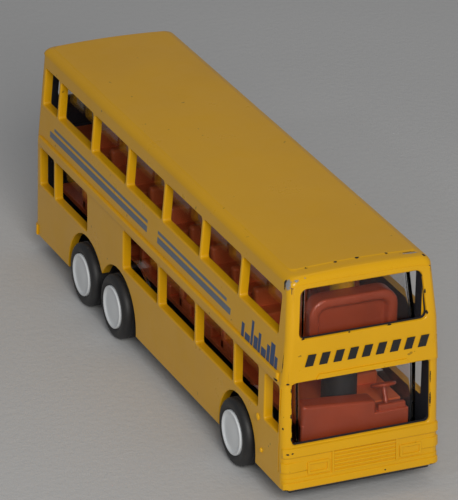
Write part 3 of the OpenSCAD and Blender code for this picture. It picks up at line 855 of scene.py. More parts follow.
def inner_block(shape):
    """The hollow inside the casting."""
    size = shape.size
    mesh = bmesh.new()
    ceiling = size.top - size.roof_wall
    rings = []
    for z in (size.body_bottom - 1.0, size.waist - 0.04, size.waist + 0.01, shape.window.upper_sill, ceiling - 0.8):
        ring = shape.outline(max(z, size.body_bottom), size.wall, size.end_wall, radius=0.8)
        for point in ring:
            point.z = z
        rings.append(ring)
    rings.append(shape.outline(ceiling, size.wall + 0.8, size.end_wall + 0.8, radius=0.6))
    for point in rings[-1]:
        point.z = ceiling
    # the hollow's walls take the near-black inside material, a painted shade
    loft(mesh, rings, surface=1)
    return mesh


def side_window_cuts(shape):
    """Cutters for every opening in the two sides. The door's window is on its own side only."""
    window, size = shape.window, shape.size
    after_door = DOOR_SETBACK + DOOR_LENGTH + 2.1
    mesh = bmesh.new()
    for side in (-1, 1):
        openings = [(y, span, window.upper_sill, window.upper_head) for y, span in shape.side_windows()]
        for column, (y, span) in enumerate(shape.side_windows()):
            if column == 0 and side < 0:
                span, y = y + span - after_door, after_door
            if column != BLANK_COLUMN:
                openings.append((y, span, window.lower_sill, window.lower_head))
        if side < 0:
            openings.append((DOOR_SETBACK + DOOR_FRAME, DOOR_LENGTH - 2 * DOOR_FRAME,
                             window.lower_sill - DOOR_DROP, window.lower_head))
        for y, span, sill, head in openings:
            middle = (shape.nose + y + span / 2, (sill + head) / 2)

            def place(u, v, inwards):
                z = middle[1] + v
                return Vector((side * (shape.side_at(z) - inwards), middle[0] + u, z))
            flared_cut(mesh, lambda grow: rounded_outline(span, head - sill, window.corner, grow), place,
                       min(size.edge, window.pillar * 0.42), size.wall + 0.8)
    return mesh


def corner_webs(shape):
    """The thicker metal inside the two upper front corners, in the near-black inside material as a painted shade."""
    size, window = shape.size, shape.window
    mesh = bmesh.new()
    face = shape.half - size.wall - size.tumblehome - 0.35
    for side in (-1, 1):
        x0, x1 = sorted((side * face, side * (face + 1.6)))
        block(mesh, (x0, shape.nose + 2.5, size.waist + 3), (x1, shape.nose + window.first, size.top - 2.2), 0.1,
              surface=1)
    return mesh


def screen_cut(mesh, shape, half, sill, head, narrower, end, edge, bottom_radius=None):
    """Cutter for one window in the nose (end -1) or the tail (end 1)."""
    size = shape.size
    middle = (sill + head) / 2

    def outline(grow):
        points = []
        for u, v in rounded_outline(2 * half, head - sill, shape.window.screen_corner
                                    if bottom_radius is None else bottom_radius, grow):
            points.append((u * (1 - narrower / half * (v / (head - sill) + 0.5)), v))
        return points

    def place(u, v, inwards):
        z = middle + v
        y = shape.nose_at(z) + inwards if end < 0 else shape.tail_at(z) - inwards
        return Vector((u, y, z))
    # past a lining of 0.12 the jamb is near-black, a painted shade
    flared_cut(mesh, outline, place, edge, size.end_wall + 2.5, draft=0.1, lining=0.12)


def arch_outline(shape, front):
    """Outline of a wheel arch, or of the two rear arches that run into one another."""
    def outline(grow):
        centres = [FRONT_AXLE] if front else [MIDDLE_AXLE, REAR_AXLE]
        radius, height = ((8.0, 5.8) if front else (9.2, 5.0))
        radius += grow
        points = []
        steps = 14
        for index, setback in enumerate(centres):
            start, stop = 0.0, math.pi
            if not front:
                meet = math.acos((REAR_AXLE - MIDDLE_AXLE) / 2 / radius)
                start, stop = (meet, math.pi) if index == 0 else (0.0, math.pi - meet)
            arc = []
            for step in range(steps + 1):
                angle = start + (stop - start) * step / steps
                arc.append((shape.nose + setback + radius * math.cos(angle), height + radius * math.sin(angle)))
            points = arc + points if index else arc
        low = -1.0
        return points + [(points[-1][0], low), (points[0][0], low)]
    return outline


def wheel_arch_cuts(shape):
    mesh = bmesh.new()
    for side in (-1, 1):
        for front in (True, False):
            def place(u, v, inwards):
                return Vector((side * (shape.half - inwards), u, v))
            flared_cut(mesh, arch_outline(shape, front), place, 0.25, shape.size.wall + 3.5, draft=0.0)
    return mesh


def belt(mesh, shape, profile, first, last, fade=(1.0, 1.0)):
    """A bar that wraps an end of the bus: profile gives (outwards, height) points.

    fade gives how much of it stands out at its first and its last station.
    """
    rings = []
    for index in range(first, last + 1):
        share = fade[0] if index == first else fade[1] if index == last else 1.0
        ring = []
        for out, z in profile:
            points = shape.outline(z, -out * share if out > 0 else -out)
            ring.append(points[index % len(points)])
        rings.append(ring)
    loft(mesh, rings)


def bar_profile(low, high, out, root, roundness):
    """Section of a bar with its two outer edges rounded."""
    points = [(-root, low), (out - roundness, low)]
    for centre_z, start in ((low + roundness, -90), (high - roundness, 0)):
        for step in range(1, 4):
            angle = math.radians(start + 30 * step)
            points.append((out - roundness + roundness * math.cos(angle), centre_z + roundness * math.sin(angle)))
    points.append((-root, high))
    return points


def frame_relief(mesh, place, centre, width, height, line, out, root):
    """A raised rectangular outline with soft edges."""
    stations = [(-root, 0.0), (out - 0.08, 0.0), (out, 0.08), (out, line - 0.08), (out - 0.08, line), (-root, line)]
    rings = []
    for outwards, inset in stations:
        ring = []
        for u, v in rounded_outline(width - 2 * inset, height - 2 * inset, max(0.1, 0.3 - inset)):
            point = Vector((centre[0] + u, -outwards, centre[1] + v))
            place(point)
            ring.append(point)
        rings.append(ring)
    loft(mesh, rings, closed=True)


def nose_details(shape):
    """Bumper, rolled step, grille, headlamps, visor lip and mask plate."""
    size, relief = shape.size, shape.size.relief
    # stations of the outline: the -X corner of the nose runs from first, and the +X corner up to last
    first, last = 2 * (ROUND + 1) + 7, 4 * (ROUND + 1) + 13
    pieces = []
    for low, high, out, soft in ((9.98, 11.9, 0.38, 0.34), (3.92, 5.35, 0.38, 0.32), (5.3, 6.1, 0.2, 0.16)):
        mesh = bmesh.new()
        belt(mesh, shape, bar_profile(low, high, out, 0.5, soft), first + 2, last - 2, fade=(0.25, 0.25))
        pieces.append(mesh)
    mesh = bmesh.new()  # the marker lamps cast round the corners
    belt(mesh, shape, bar_profile(7.15, 9.1, 0.3, 0.5, 0.28), first + 1, first + ROUND + 1, fade=(0.2, 0.0))
    belt(mesh, shape, bar_profile(7.15, 9.1, 0.3, 0.5, 0.28), last - ROUND - 1, last - 1, fade=(0.0, 0.2))
    pieces.append(mesh)
    mesh = bmesh.new()
    for side in (-1, 1):
        frame_relief(mesh, shape.on_nose, (side * 8.95 + NOSE_SHIFT, 7.55), 4.3, 2.35, 0.5, relief, 0.42)
        x = side * 6.2 + NOSE_SHIFT
        block(mesh, (x - 0.2, -relief, 5.8), (x + 0.2, 0.5, 10.1), 0.1, place=shape.on_nose)
    pieces.append(mesh)
    mesh = bmesh.new()
    for bar in range(6):
        z = 5.9 + bar * 0.71
        block(mesh, (NOSE_SHIFT - 6.0, -relief * 0.9, z), (NOSE_SHIFT + 6.0, 0.5, z + 0.42), 0.13, segments=3,
              place=shape.on_nose)
    pieces.append(mesh)
    mesh = bmesh.new()
    lip = block(mesh, (-9.3, -0.36, size.waist + 0.12), (9.3, 0.5, size.waist + 1.3), 0.14)
    for vert in lip:  # the lip's ends slope
        vert.co.x *= 1 - 0.09 * (vert.co.z - size.waist) / 1.25
        shape.on_nose(vert.co)
    pieces.append(mesh)
    mesh = bmesh.new()
    low, high = size.waist + 0.06, 42.2
    rings = []
    for outwards, inset in ((-0.5, 0.0), (0.02, 0.0), (0.09, 0.03), (0.13, 0.12)):
        ring = []
        for u, v in rounded_outline(2.0, high - low - 2 * inset, 0.5):
            z = (low + high) / 2 + v
            half = shape.side_at(z) - 0.85 - inset
            point = Vector((u / 1.0 * half, -outwards, z))
            shape.on_nose(point)
            ring.append(point)
        rings.append(ring)
    loft(mesh, rings)
    pieces.append(mesh)
    return pieces


def side_details(shape):
    """The moulding between the decks and the small cast bosses beside the door."""
    size = shape.size
    pieces = []
    mesh = bmesh.new()
    for side in (-1, 1):
        rings = []
        for y, share in ((3.0, 0.25), (3.12, 0.7), (3.4, 1.0), (60.0, 1.0), (116.6, 1.0), (116.88, 0.7), (117.0, 0.25)):
            ring = []
            for out, z in bar_profile(size.waist, size.waist + 1.7, size.rib_out, 0.6, 0.32):
                out = out * share if out > 0 else out
                ring.append(Vector((side * (shape.half + out), shape.nose + y, z)))
            rings.append(ring)
        loft(mesh, rings)
    pieces.append(mesh)
    mesh = bmesh.new()
    for y, z, radius in ((11.2, 13.45, 0.75), (9.4, 7.7, 0.5)):
        for side in (-1, 1):
            centre = Vector((side * (shape.half - 0.3), shape.nose + y, z))
            profile = [(radius, 0.0), (radius, 0.35), (radius * 0.85, 0.52), (radius * 0.5, 0.62), (0.05, 0.66)]
            loft(mesh, disc_rings(centre, (side, 0, 0), profile, 16))
    pieces.append(mesh)
    return pieces


def tail_details(shape):
    """Rear bumper, lamps, engine grille and a blank plate."""
    relief = shape.size.relief
    pieces = []
    mesh = bmesh.new()
    belt(mesh, shape, bar_profile(3.92, 6.1, 0.36, 0.5, 0.32), 0, 2 * (ROUND + 1) + 6)
    pieces.append(mesh)
    mesh = bmesh.new()
    for side in (-1, 1):
        for z in (8.0, 11.2):
            centre = (side * 11.7, z + 1.3)

            def outwards(point):
                point.y = -point.y + shape.tail_at(point.z)
            frame_relief(mesh, outwards, centre, 2.6, 2.6, 0.4, relief, 0.5)
            block(mesh, (centre[0] - 0.7, -0.5, centre[1] - 0.7), (centre[0] + 0.7, relief * 0.8, centre[1] + 0.7),
                  0.2, segments=3, place=shape.on_tail)
    pieces.append(mesh)
    mesh = bmesh.new()
    for bar in range(6):
        z = 9.8 + bar * 1.1
        block(mesh, (-7.5, -0.5, z), (7.5, relief, z + 0.55), 0.16, place=shape.on_tail)
    block(mesh, (-4.5, -0.5, 6.7), (4.5, relief, 9.2), 0.12, place=shape.on_tail)
    pieces.append(mesh)
    return pieces


def roof_posts(shape):
    """The posts under the roof with their screw holes."""
    size = shape.size
    mesh = bmesh.new()
    for setback in POSTS:
        centre = (0, shape.nose + setback, 0)
        top = size.top - size.roof_wall + 0.3
        loft(mesh, disc_rings(centre, (0, 0, 1), [
            (1.1, POST_END + 9), (1.1, POST_END), (POST_RADIUS - 0.3, POST_END), (POST_RADIUS, POST_END + 0.3),
            (POST_RADIUS, top - 1.4), (POST_RADIUS + 0.25, top - 0.7), (POST_RADIUS + 0.8, top - 0.3),
            (POST_RADIUS + 0.9, top)]))
    return mesh


def door_lines(shape):
    """The grooves cast at the door's front and rear edges, on its own side only."""
    mesh = bmesh.new()
    place = shape.on_side(-1)
    low, high = 7.0, shape.size.waist - 1.0
    for y in (DOOR_SETBACK, DOOR_SETBACK + DOOR_LENGTH - 0.3):
        block(mesh, (-0.3, shape.nose + y, low), (0.6, shape.nose + y + 0.3, high), place=place)
    return mesh


def door_foot(shape):
    mesh = bmesh.new()
    block(mesh, (-0.3, shape.nose + DOOR_SETBACK, 7.0), (0.6, shape.nose + DOOR_SETBACK + DOOR_LENGTH, 7.3),
          place=shape.on_side(-1))
    return mesh


class BusOperator:
    bl_options = {"REGISTER", "UNDO"}

    def execute(self, context):
        self.build(context, BusShape(context.scene.toy_bus), finishes(context))
        return {"FINISHED"}


class TOYBUS_OT_casting(BusOperator, bpy.types.Operator):
    """Build the painted casting with its openings, arches and cast details"""
    bl_idname = "toybus.casting"
    bl_label = "Painted Casting"

    def build(self, context, shape, finish):
        # slot 1 is the near-black inside material, a painted shade
        surfaces = [finish["enamel"], finish["inside"]]
        shell = temporary(outer_block(shape), "casting_block", surfaces, context)

        def tools(*meshes):
            return [temporary(mesh, "tool", surfaces, context) for mesh in meshes]

        combine(shell, tools(*nose_details(shape), *side_details(shape), *tail_details(shape)), "UNION", context)
        screens = bmesh.new()
        window, size = shape.window, shape.size
        screen_cut(screens, shape, 12.3, window.upper_sill + 0.1, size.top - 2.8, 0.75, -1, size.edge)
        screen_cut(screens, shape, shape.half - 1.9, 12.2, size.waist + 0.1, 0.0, -1, 0.3, bottom_radius=0.8)
        screen_cut(screens, shape, shape.half - 4.4, window.upper_sill + 0.2, window.upper_head, 0.6, 1, size.edge)
        screen_cut(screens, shape, shape.half - 5.6, window.lower_sill + 2, window.lower_head, 0.3, 1, size.edge)
        combine(shell, tools(inner_block(shape), side_window_cuts(shape), screens, wheel_arch_cuts(shape),
                             door_lines(shape), door_foot(shape)), "DIFFERENCE", context)
        combine(shell, tools(roof_posts(shape), corner_webs(shape)), "UNION", context)
        mesh = bmesh.new()
        mesh.from_mesh(shell.data)
        data = shell.data
        bpy.data.objects.remove(shell)
        bpy.data.meshes.remove(data)
        mesh.normal_update()
        for face in mesh.faces:  # the corner webs take the near-black inside material too, as a painted shade in the windscreen corners
            centre = face.calc_center_median()
            inwards = face.normal.x * centre.x < 0 and abs(face.normal.x) > 0.9
            if (inwards and 11.0 < abs(centre.x) < 12.0 and centre.z > size.waist + 2.9
                    and shape.nose + 2.4 < centre.y < shape.nose + window.first + 0.1):
                face.material_index = 1
        finish_piece(mesh, "painted_casting", "bus", surfaces, context,
                     replaces=["body_casting"], sharp=38.0)


# ---------------------------------------------------------------- prints on the enamel


def print_patch(mesh, place, low, high, slant=0.0, thickness=0.03, surface=0):
    """One printed patch that lies on the enamel; low and high are (along, height)."""
    verts = block(mesh, (low[0], -thickness, low[1]), (high[0], thickness, high[1]))
    for face in {f for v in verts for f in v.link_faces}:
        face.material_index = surface
    for vert in verts:
        vert.co.x += slant * (vert.co.z - low[1])
        place(vert.co)


class TOYBUS_OT_prints(BusOperator, bpy.types.Operator):
    """Print the plain stripes and blocks on the nose and the sides"""
    bl_idname = "toybus.prints"
    bl_label = "Printed Stripes"

    def build(self, context, shape, finish):
        mesh = bmesh.new()

        def on_mask(point):
            point.y = -0.13 + point.y + shape.nose_at(point.z)
        for mark in range(9):  # a plain slanted dash stripe on the band between the windscreens
            x = -11.2 + mark * 2.72
            print_patch(mesh, on_mask, (x, 27.1), (x + 1.55, 29.3), slant=0.28)
        finish_piece(mesh, "front_stripe_print", "bus", [finish["black_ink"]], context,
                     weighted=False)
        mesh = bmesh.new()
        for side in (-1, 1):
            def on_panel(point, side=side):
                along, depth = point.x, point.y
                point.x = side * (shape.side_at(point.z) + depth)
                point.y = shape.nose + along
            # plain long stripes towards the tail
            for start, end, low, high in ((24.5, 58.0, 27.3, 28.5), (26.5, 58.0, 29.1, 29.7),
                                          (63.0, 112.0, 27.3, 28.5), (63.0, 110.0, 29.1, 29.7)):
                print_patch(mesh, on_panel, (start, low), (end, high), surface=1)
            # a plain row of blocks near the nose
            for start, width, height in ((4.1, 1.1, 2.2), (5.4, 1.7, 4.1), (7.4, 1.2, 3.0), (8.9, 2.0, 1.6),
                                         (11.3, 1.0, 3.6), (12.5, 1.6, 2.3), (14.5, 0.9, 4.6), (15.7, 2.1, 1.3),
                                         (18.3, 1.1, 2.6)):
                print_patch(mesh, on_panel, (start, 25.75), (start + width, 25.75 + height))
        finish_piece(mesh, "side_prints", "bus", [finish["navy_ink"], finish["grey_ink"]], context,
                     weighted=False)


# ---------------------------------------------------------------- glazing


def glazing_ring(shape, low, high, roof=False):
    """A clear closed wall that stands behind the openings, with round corners."""
    window = shape.window
    mesh = bmesh.new()
    heights = [low, low + 0.15] + [z for z in (24.0, shape.window.upper_sill) if low + 1 < z < high - 1]
    heights += [high - 0.15, high]
    outside, inside = [], []
    for index, z in enumerate(heights):
        ease = 0.12 if index in (0, len(heights) - 1) else 0.0
        real = min(z, shape.size.top)
        outside.append(shape.outline(real, window.glass_side + ease, window.glass_end + ease, radius=1.5))
        inside.append(shape.outline(real, window.glass_side + window.glass - ease,
                                    window.glass_end + window.glass - ease, radius=0.8))
    loft(mesh, outside + inside[::-1], closed=True)
    return mesh


class TOYBUS_OT_glazing(BusOperator, bpy.types.Operator):
    """Build the two clear glazing inserts"""
    bl_idname = "toybus.glazing"
    bl_label = "Clear Glazing"

    def build(self, context, shape, finish):
        low, high = node_box("upper_glazing")
        finish_piece(glazing_ring(shape, low.z, high.z), "upper_glass", "bus", [finish["glass"]],
                     context, replaces=["upper_glazing"], sharp=40.0)
        low, high = node_box("lower_glazing")
        # the lower insert is cut away over the wheels
        glass = temporary(glazing_ring(shape, low.z, high.z), "glass_block", [finish["glass"]], context)
        mesh = bmesh.new()
        for front in (True, False):
            outline = arch_outline(shape, front)(0.6)
            loft(mesh, [[Vector((x, u, v)) for u, v in outline] for x in (-20, 20)])
        combine(glass, [temporary(mesh, "tool", [finish["glass"]], context)], "DIFFERENCE", context)
        mesh = bmesh.new()
        mesh.from_mesh(glass.data)
        bpy.data.objects.remove(glass)
        finish_piece(mesh, "lower_glass", "bus", [finish["glass"]], context,
                     replaces=["lower_glazing"], sharp=40.0)


# ---------------------------------------------------------------- the orange interior


def seat(mesh, x0, x1, y, floor, height=5.4, cushion=2.2, deep=5.4, back=2.2):
    """A moulded bench seat: a cushion, and a back with a round top."""
    block(mesh, (x0, y, floor - 0.2), (x1, y + deep, floor + cushion), 0.45, segments=3)
    rest = block(mesh, (x0, y + deep - back, floor - 0.2), (x1, y + deep, floor + height), 0.6, segments=3)
    for vert in rest:  # the back leans a little and thins towards its top
        share = max(0.0, (vert.co.z - floor - cushion) / (height - cushion))
        if vert.co.y < y + deep - back / 2:
            vert.co.y += 0.55 * share


def seat_rows(first, pitch=9.6):
    """Setbacks of the rows that fit in front of the rear post."""
    count = int((POSTS[1] - 3.2 - 5.4 - first) / pitch)
    return [first + row * pitch for row in range(count + 1)]


def collar(mesh, centre, low, high, inner, outer, surface=0):
    """A round collar with a soft top edge."""
    loft(mesh, disc_rings(centre, (0, 0, 1), [
        (inner, low), (outer, low), (outer, high - 0.4), (outer - 0.12, high - 0.12), (outer - 0.4, high),
        (inner + 0.15, high), (inner, high - 0.15)], 40), closed=True, surface=surface)


def pierced_floor(shape, name, low, high, holes, finish, context):
    """A moulded floor plate with round holes for the posts or the screws."""
    mesh = bmesh.new()
    block(mesh, low, high, 0.12)
    plate = temporary(mesh, name, [finish["plastic"]], context)
    mesh = bmesh.new()
    for setback, radius in holes:
        loft(mesh, disc_rings((0, shape.nose + setback, 0), (0, 0, 1), [(radius, low[2] - 1), (radius, high[2] + 1)]))
    combine(plate, [temporary(mesh, "tool", [finish["plastic"]], context)], "DIFFERENCE", context)
    mesh = bmesh.new()
    mesh.from_mesh(plate.data)
    bpy.data.objects.remove(plate)
    return mesh


class TOYBUS_OT_upper_deck(BusOperator, bpy.types.Operator):
    """Build the upper deck's floor, seats, post collars and front panel"""
    bl_idname = "toybus.upper_deck"
    bl_label = "Upper Deck Seats"

    def build(self, context, shape, finish):
        low, high = node_box("upper_deck_seats")
        floor = shape.size.waist + 2.4
        half = high.x
        mesh = pierced_floor(shape, "upper_floor", (low.x, low.y, floor - 1.0), (high.x, high.y, floor),
                             [(setback, POST_RADIUS + 0.15) for setback in POSTS], finish, context)
        for y in seat_rows(20.0):
            for side in (-1, 1):
                seat(mesh, *sorted((side * 2.2, side * half)), shape.nose + y, floor)
        for setback in POSTS:
            collar(mesh, (0, shape.nose + setback, 0), floor - 0.3, floor + 8.4, POST_RADIUS + 0.15, 3.2)
        # the seats take the brighter orange copy, a painted light
        finish_piece(mesh, "upper_deck_moulding", "bus", [finish["seats"]], context,
                     replaces=["upper_deck_seats"])
        # the arched panel behind the windscreen: a round-shouldered frame round a sunk field
        mesh = bmesh.new()
        front, back, top = low.y, low.y + 3.2, floor + 10.8
        stations = [(back, 0.0), (back - 0.2, 0.0), (front + 0.55, 0.0), (front + 0.2, 0.12), (front + 0.04, 0.4),
                    (front, 0.8), (front + 0.02, 1.25), (front + 0.16, 1.65), (front + 0.5, 1.95),
                    (front + 1.2, 2.1), (front + 1.35, 2.3), (front + 1.4, 2.9)]
        rings = []
        for y, inset in stations:
            half_panel = 8.55 - inset
            ring = []
            radius = max(0.7, 3.1 - inset * 0.75)
            head = top - inset
            for corner_x, start in ((half_panel - radius, 0), (-half_panel + radius, 90)):
                for step in range(9):
                    angle = math.radians(start + 90 * step / 8)
                    ring.append(Vector((corner_x + radius * math.cos(angle), y,
                                        head - radius + radius * math.sin(angle))))
            foot = floor - 0.2 + inset * 0.6
            ring += [Vector((-half_panel, y, foot)), Vector((half_panel, y, foot))]
            rings.append(ring)
        loft(mesh, rings)
        # the arched panel takes the darker orange copy, a painted shade
        finish_piece(mesh, "front_arch_panel", "bus", [finish["plastic"]], context, sharp=60.0)


class TOYBUS_OT_lower_deck(BusOperator, bpy.types.Operator):
    """Build the lower deck's floor, seats, driver's seat and screw collars"""
    bl_idname = "toybus.lower_deck"
    bl_label = "Lower Deck Seats"

    def build(self, context, shape, finish):
        low, high = node_box("lower_deck_seats")
        floor = 14.6
        mesh = pierced_floor(shape, "lower_floor", (low.x, low.y, floor - 1.0), (high.x, high.y, floor),
                             [(setback, 1.25) for setback in POSTS], finish, context)
        for y in seat_rows(32.0):
            for side in (-1, 1):
                seat(mesh, *sorted((side * 2.2, side * high.x)), shape.nose + y, floor)
        seat(mesh, 1.6, 9.4, shape.nose + 14.0, floor, height=9.8)
        for setback in POSTS:
            collar(mesh, (0, shape.nose + setback, 0), 4.5, floor - 0.3, 1.25, 3.2)
            # the sleeve up to the upper floor is black plastic, a painted shade for the dark area behind the dashboard
            collar(mesh, (0, shape.nose + setback, 0), floor - 0.2, shape.size.waist + 1.25, POST_RADIUS + 0.15, 3.2,
                   surface=1)
        # seats is the brighter painted-light orange copy; black on the post sleeves is a painted shade
        finish_piece(mesh, "lower_deck_moulding", "bus", [finish["seats"], finish["black"]], context,
                     replaces=["lower_deck_seats"])


class TOYBUS_OT_driver_place(BusOperator, bpy.types.Operator):
    """Build the dashboard and the steering wheel"""
    bl_idname = "toybus.driver_place"
    bl_label = "Dashboard And Wheel"

    def build(self, context, shape, finish):
        low, high = node_box("dashboard")
        step = 14.5
        mesh = bmesh.new()
        block(mesh, (low.x, low.y + 0.02, low.z), (high.x, high.y, step), 0.35, segments=3)
        raised = block(mesh, (low.x, low.y, low.z + 0.5), (4.0, high.y - 0.02, high.z), 0.7, segments=4)
        for vert in raised:  # its top falls away towards the door side
            share = max(0.0, (vert.co.z - step) / (high.z - step))
            vert.co.z -= share * 1.4 * max(0.0, (vert.co.x - low.x) / (4.0 - low.x))
        block(mesh, (4.6, low.y + 0.3, step - 0.2), (high.x - 0.5, low.y + 1.3, step + 1.1), 0.3, segments=3)
        # the dashboard takes the darker orange copy, a painted shade
        finish_piece(mesh, "dashboard_moulding", "bus", [finish["plastic"]], context,
                     replaces=["dashboard"])
        low, high = node_box("steering_wheel")
        mesh = bmesh.new()
        foot = Vector((7.2, high_of_column(shape), step))
        axis = Euler((math.radians(-25), 0, 0)).to_matrix() @ Vector((0, 0, 1))
        hub = foot + axis * 3.4
        tube = []
        turn = axis.to_track_quat("Z", "Y")
        for around in range(32):
            angle = 2 * math.pi * around / 32
            out = Vector((math.cos(angle), math.sin(angle), 0))
            tube.append([hub + turn @ (out * (2.0 + 0.33 * math.cos(t)) + Vector((0, 0, 0.33 * math.sin(t))))
                         for t in (2 * math.pi * part / 10 for part in range(10))])
        loft(mesh, tube, closed=True)
        loft(mesh, disc_rings(foot, axis, [(0.5, 0.05), (0.5, 3.1), (0.75, 3.25), (0.75, 3.5), (0.55, 3.62)], 20))
        for spoke in range(3):
            angle = 2 * math.pi * spoke / 3 + 0.5
            out = turn @ Vector((math.cos(angle), math.sin(angle), 0))
            loft(mesh, disc_rings(hub, out, [(0.24, 0.3), (0.22, 1.85)], 10))
        finish_piece(mesh, "driver_wheel", "bus", [finish["plastic"]], context,
                     replaces=["steering_wheel"])


def high_of_column(shape):
    """Where the steering column stands along the bus: 1.2 mm in from the dashboard's rear edge."""
    return node_box("dashboard")[1].y - 1.2


# ---------------------------------------------------------------- base, screws, axles and wheels


class TOYBUS_OT_base(BusOperator, bpy.types.Operator):
    """Finish the black base and add its cast ribs, bosses and blank plaque"""
    bl_idname = "toybus.base"
    bl_label = "Base"

    def build(self, context, shape, finish):
        base = bpy.data.objects["base_plate"]
        for slot in base.material_slots:
            slot.material = finish["black"]
        low, high = node_box("base_plate")
        under = low.z
        mesh = bmesh.new()
        for x in (-10.4, 10.4):  # long ribs between the wheel cut-outs
            block(mesh, (x - 0.45, -30.0, under - 0.35), (x + 0.45, 6.5, under + 0.4), 0.16)
        for x in (-5.6, 5.6):
            block(mesh, (x - 0.3, -57.0, under - 0.25), (x + 0.3, -53.0, under + 0.4), 0.1)
        for y in (-33.0, 8.6):
            block(mesh, (-9.2, y, under - 0.3), (9.2, y + 0.7, under + 0.4), 0.14)
        block(mesh, (-8.2, -24.5, under - 0.18), (8.2, -2.5, under + 0.4), 0.16)
        for setback in POSTS:
            centre = (0, shape.nose + setback, 0)
            loft(mesh, disc_rings(centre, (0, 0, 1), [(2.3, under + 0.3), (2.3, under - 0.2), (2.45, under - 0.35),
                                                      (2.9, under - 0.35), (3.1, under - 0.2), (3.1, under + 0.3)]),
                 closed=True)
        for setback in (FRONT_AXLE, MIDDLE_AXLE, REAR_AXLE):
            y = shape.nose + setback
            for side in (-1, 1):
                block(mesh, (side * 8.0 - 1.0, y - 3.4, under - 0.25), (side * 8.0 + 1.0, y + 3.4, under + 0.3), 0.12)
        for y0, y1 in ((shape.nose + 0.75, shape.nose + 3.5), (shape.tail - 3.5, shape.tail - 0.75)):
            block(mesh, (-shape.half + 1.5, y0, under - 0.2), (shape.half - 1.5, y1, under + 1.1), 0.3, segments=3)
        finish_piece(mesh, "base_relief", "bus", [finish["black"]], context)


class TOYBUS_OT_screws(BusOperator, bpy.types.Operator):
    """Build the two cross-head screws in the base"""
    bl_idname = "toybus.screws"
    bl_label = "Screws"

    def build(self, context, shape, finish):
        for node, setback in zip(("front_screw", "rear_screw"), POSTS):
            low, high = node_box(node)
            centre = (0, shape.nose + setback, 0)
            mesh = bmesh.new()
            rings = [(0.12, low.z), (1.5, low.z), (1.78, low.z + 0.06), (1.95, low.z + 0.25), (1.98, low.z + 0.6),
                     (1.9, low.z + 0.8), (1.08, low.z + 0.82)]
            z = low.z + 1.2
            while z < high.z - 1.0:  # the thread
                rings += [(1.07, z), (0.88, z + 0.22), (0.88, z + 0.3), (1.07, z + 0.5)]
                z += 0.8
            rings += [(0.9, high.z - 0.5), (0.3, high.z)]
            loft(mesh, disc_rings(centre, (0, 0, 1), rings, 32))
            screw = temporary(mesh, "screw_block", [finish["steel"]], context)
            tools = []
            for turn in (0, math.pi / 2):
                mesh = bmesh.new()
                block(mesh, (-1.2, -0.22, low.z - 0.3), (1.2, 0.22, low.z + 0.5))
                bmesh.ops.rotate(mesh, verts=mesh.verts, cent=(0, 0, 0), matrix=Matrix.Rotation(turn, 3, "Z"))
                bmesh.ops.translate(mesh, verts=mesh.verts, vec=centre)
                tools.append(temporary(mesh, "tool", [finish["steel"]], context))
            combine(screw, tools, "DIFFERENCE", context)
            mesh = bmesh.new()
            mesh.from_mesh(screw.data)
            bpy.data.objects.remove(screw)
            finish_piece(mesh, node + "_cross_head", "bus", [finish["steel"]], context,
                         replaces=[node])


class TOYBUS_OT_axles(BusOperator, bpy.types.Operator):
    """Give the axle wires their steel finish"""
    bl_idname = "toybus.axles"
    bl_label = "Axle Wires"

    def build(self, context, shape, finish):
        for place in ("front", "middle", "rear"):
            for slot in bpy.data.objects[place + "_axle_rod"].material_slots:
                slot.material = finish["steel"]


class TOYBUS_OT_wheels(BusOperator, bpy.types.Operator):
    """Build the black tyres and the white hubs on the three axles"""
    bl_idname = "toybus.wheels"
    bl_label = "Wheels"

    def build(self, context, shape, finish):
        size = Millimetres(context.scene.toy_bus.wheels)
        for place in ("front", "middle", "rear"):
            for hand, side in (("left", 1), ("right", -1)):
                name = f"{place}_{hand}"
                low, high = node_box(name + "_tyre")
                inner = low.x if side > 0 else high.x
                centre = (inner, (low.y + high.y) / 2, (low.z + high.z) / 2)
                body = place + "_wheels"
                self.tyre(size, centre, side, name, body, finish, context)
                self.hub(size, centre, side, name, body, finish, context)

    def tyre(self, size, centre, side, name, body, finish, context):
        outer, width, bore = size.tyre, size.tyre_width, size.hub + 0.01
        shoulder = 1.1
        profile = [(bore, 0.3), (bore + 0.2, 0.12), (outer - shoulder - 0.3, 0.0)]
        profile += [(outer - shoulder + shoulder * math.sin(a), shoulder - shoulder * math.cos(a))
                    for a in (math.radians(step) for step in range(15, 91, 15))]
        for groove in range(size.treads):
            middle = width * (groove + 1) / (size.treads + 1)
            profile += [(outer, middle - 0.22), (outer - 0.13, middle - 0.14), (outer - 0.13, middle + 0.14),
                        (outer, middle + 0.22)]
        profile += [(outer - shoulder + shoulder * math.cos(a), width - shoulder + shoulder * math.sin(a))
                    for a in (math.radians(step) for step in range(0, 76, 15))]
        profile += [(outer - shoulder - 0.35, width - 0.02), (outer - shoulder - 0.5, width - 0.12),
                    (bore + 0.35, width - 0.12), (bore + 0.12, width - 0.22), (bore, width - 0.4), (bore, 0.3)]
        mesh = bmesh.new()
        turned(mesh, profile, centre, side, 64)
        finish_piece(mesh, name + "_rubber", body, [finish["rubber"]], context,
                     replaces=[name + "_tyre"], sharp=50.0)

    def hub(self, size, centre, side, name, body, finish, context):
        rim, face = size.hub, size.tyre_width
        profile = [(1.01, 0.3), (rim - 0.2, 0.3), (rim, 0.5), (rim, face - 0.05), (rim - 0.06, face + 0.12),
                   (rim - 0.22, face + 0.2), (rim - 0.42, face + 0.16), (rim - 0.6, face + 0.0),
                   (rim - 0.78, face - 0.1), (rim - 1.3, face - 0.12), (2.2, face - 0.08), (1.4, face - 0.03),
                   (0.7, face), (0.02, face + 0.01), (0.02, face - 1.18), (1.01, face - 1.18), (1.01, 0.3)]
        mesh = bmesh.new()
        turned(mesh, profile, centre, side, 64)
        finish_piece(mesh, name + "_wheel", body, [finish["hub"]], context,
                     replaces=[name + "_hub"], sharp=50.0)


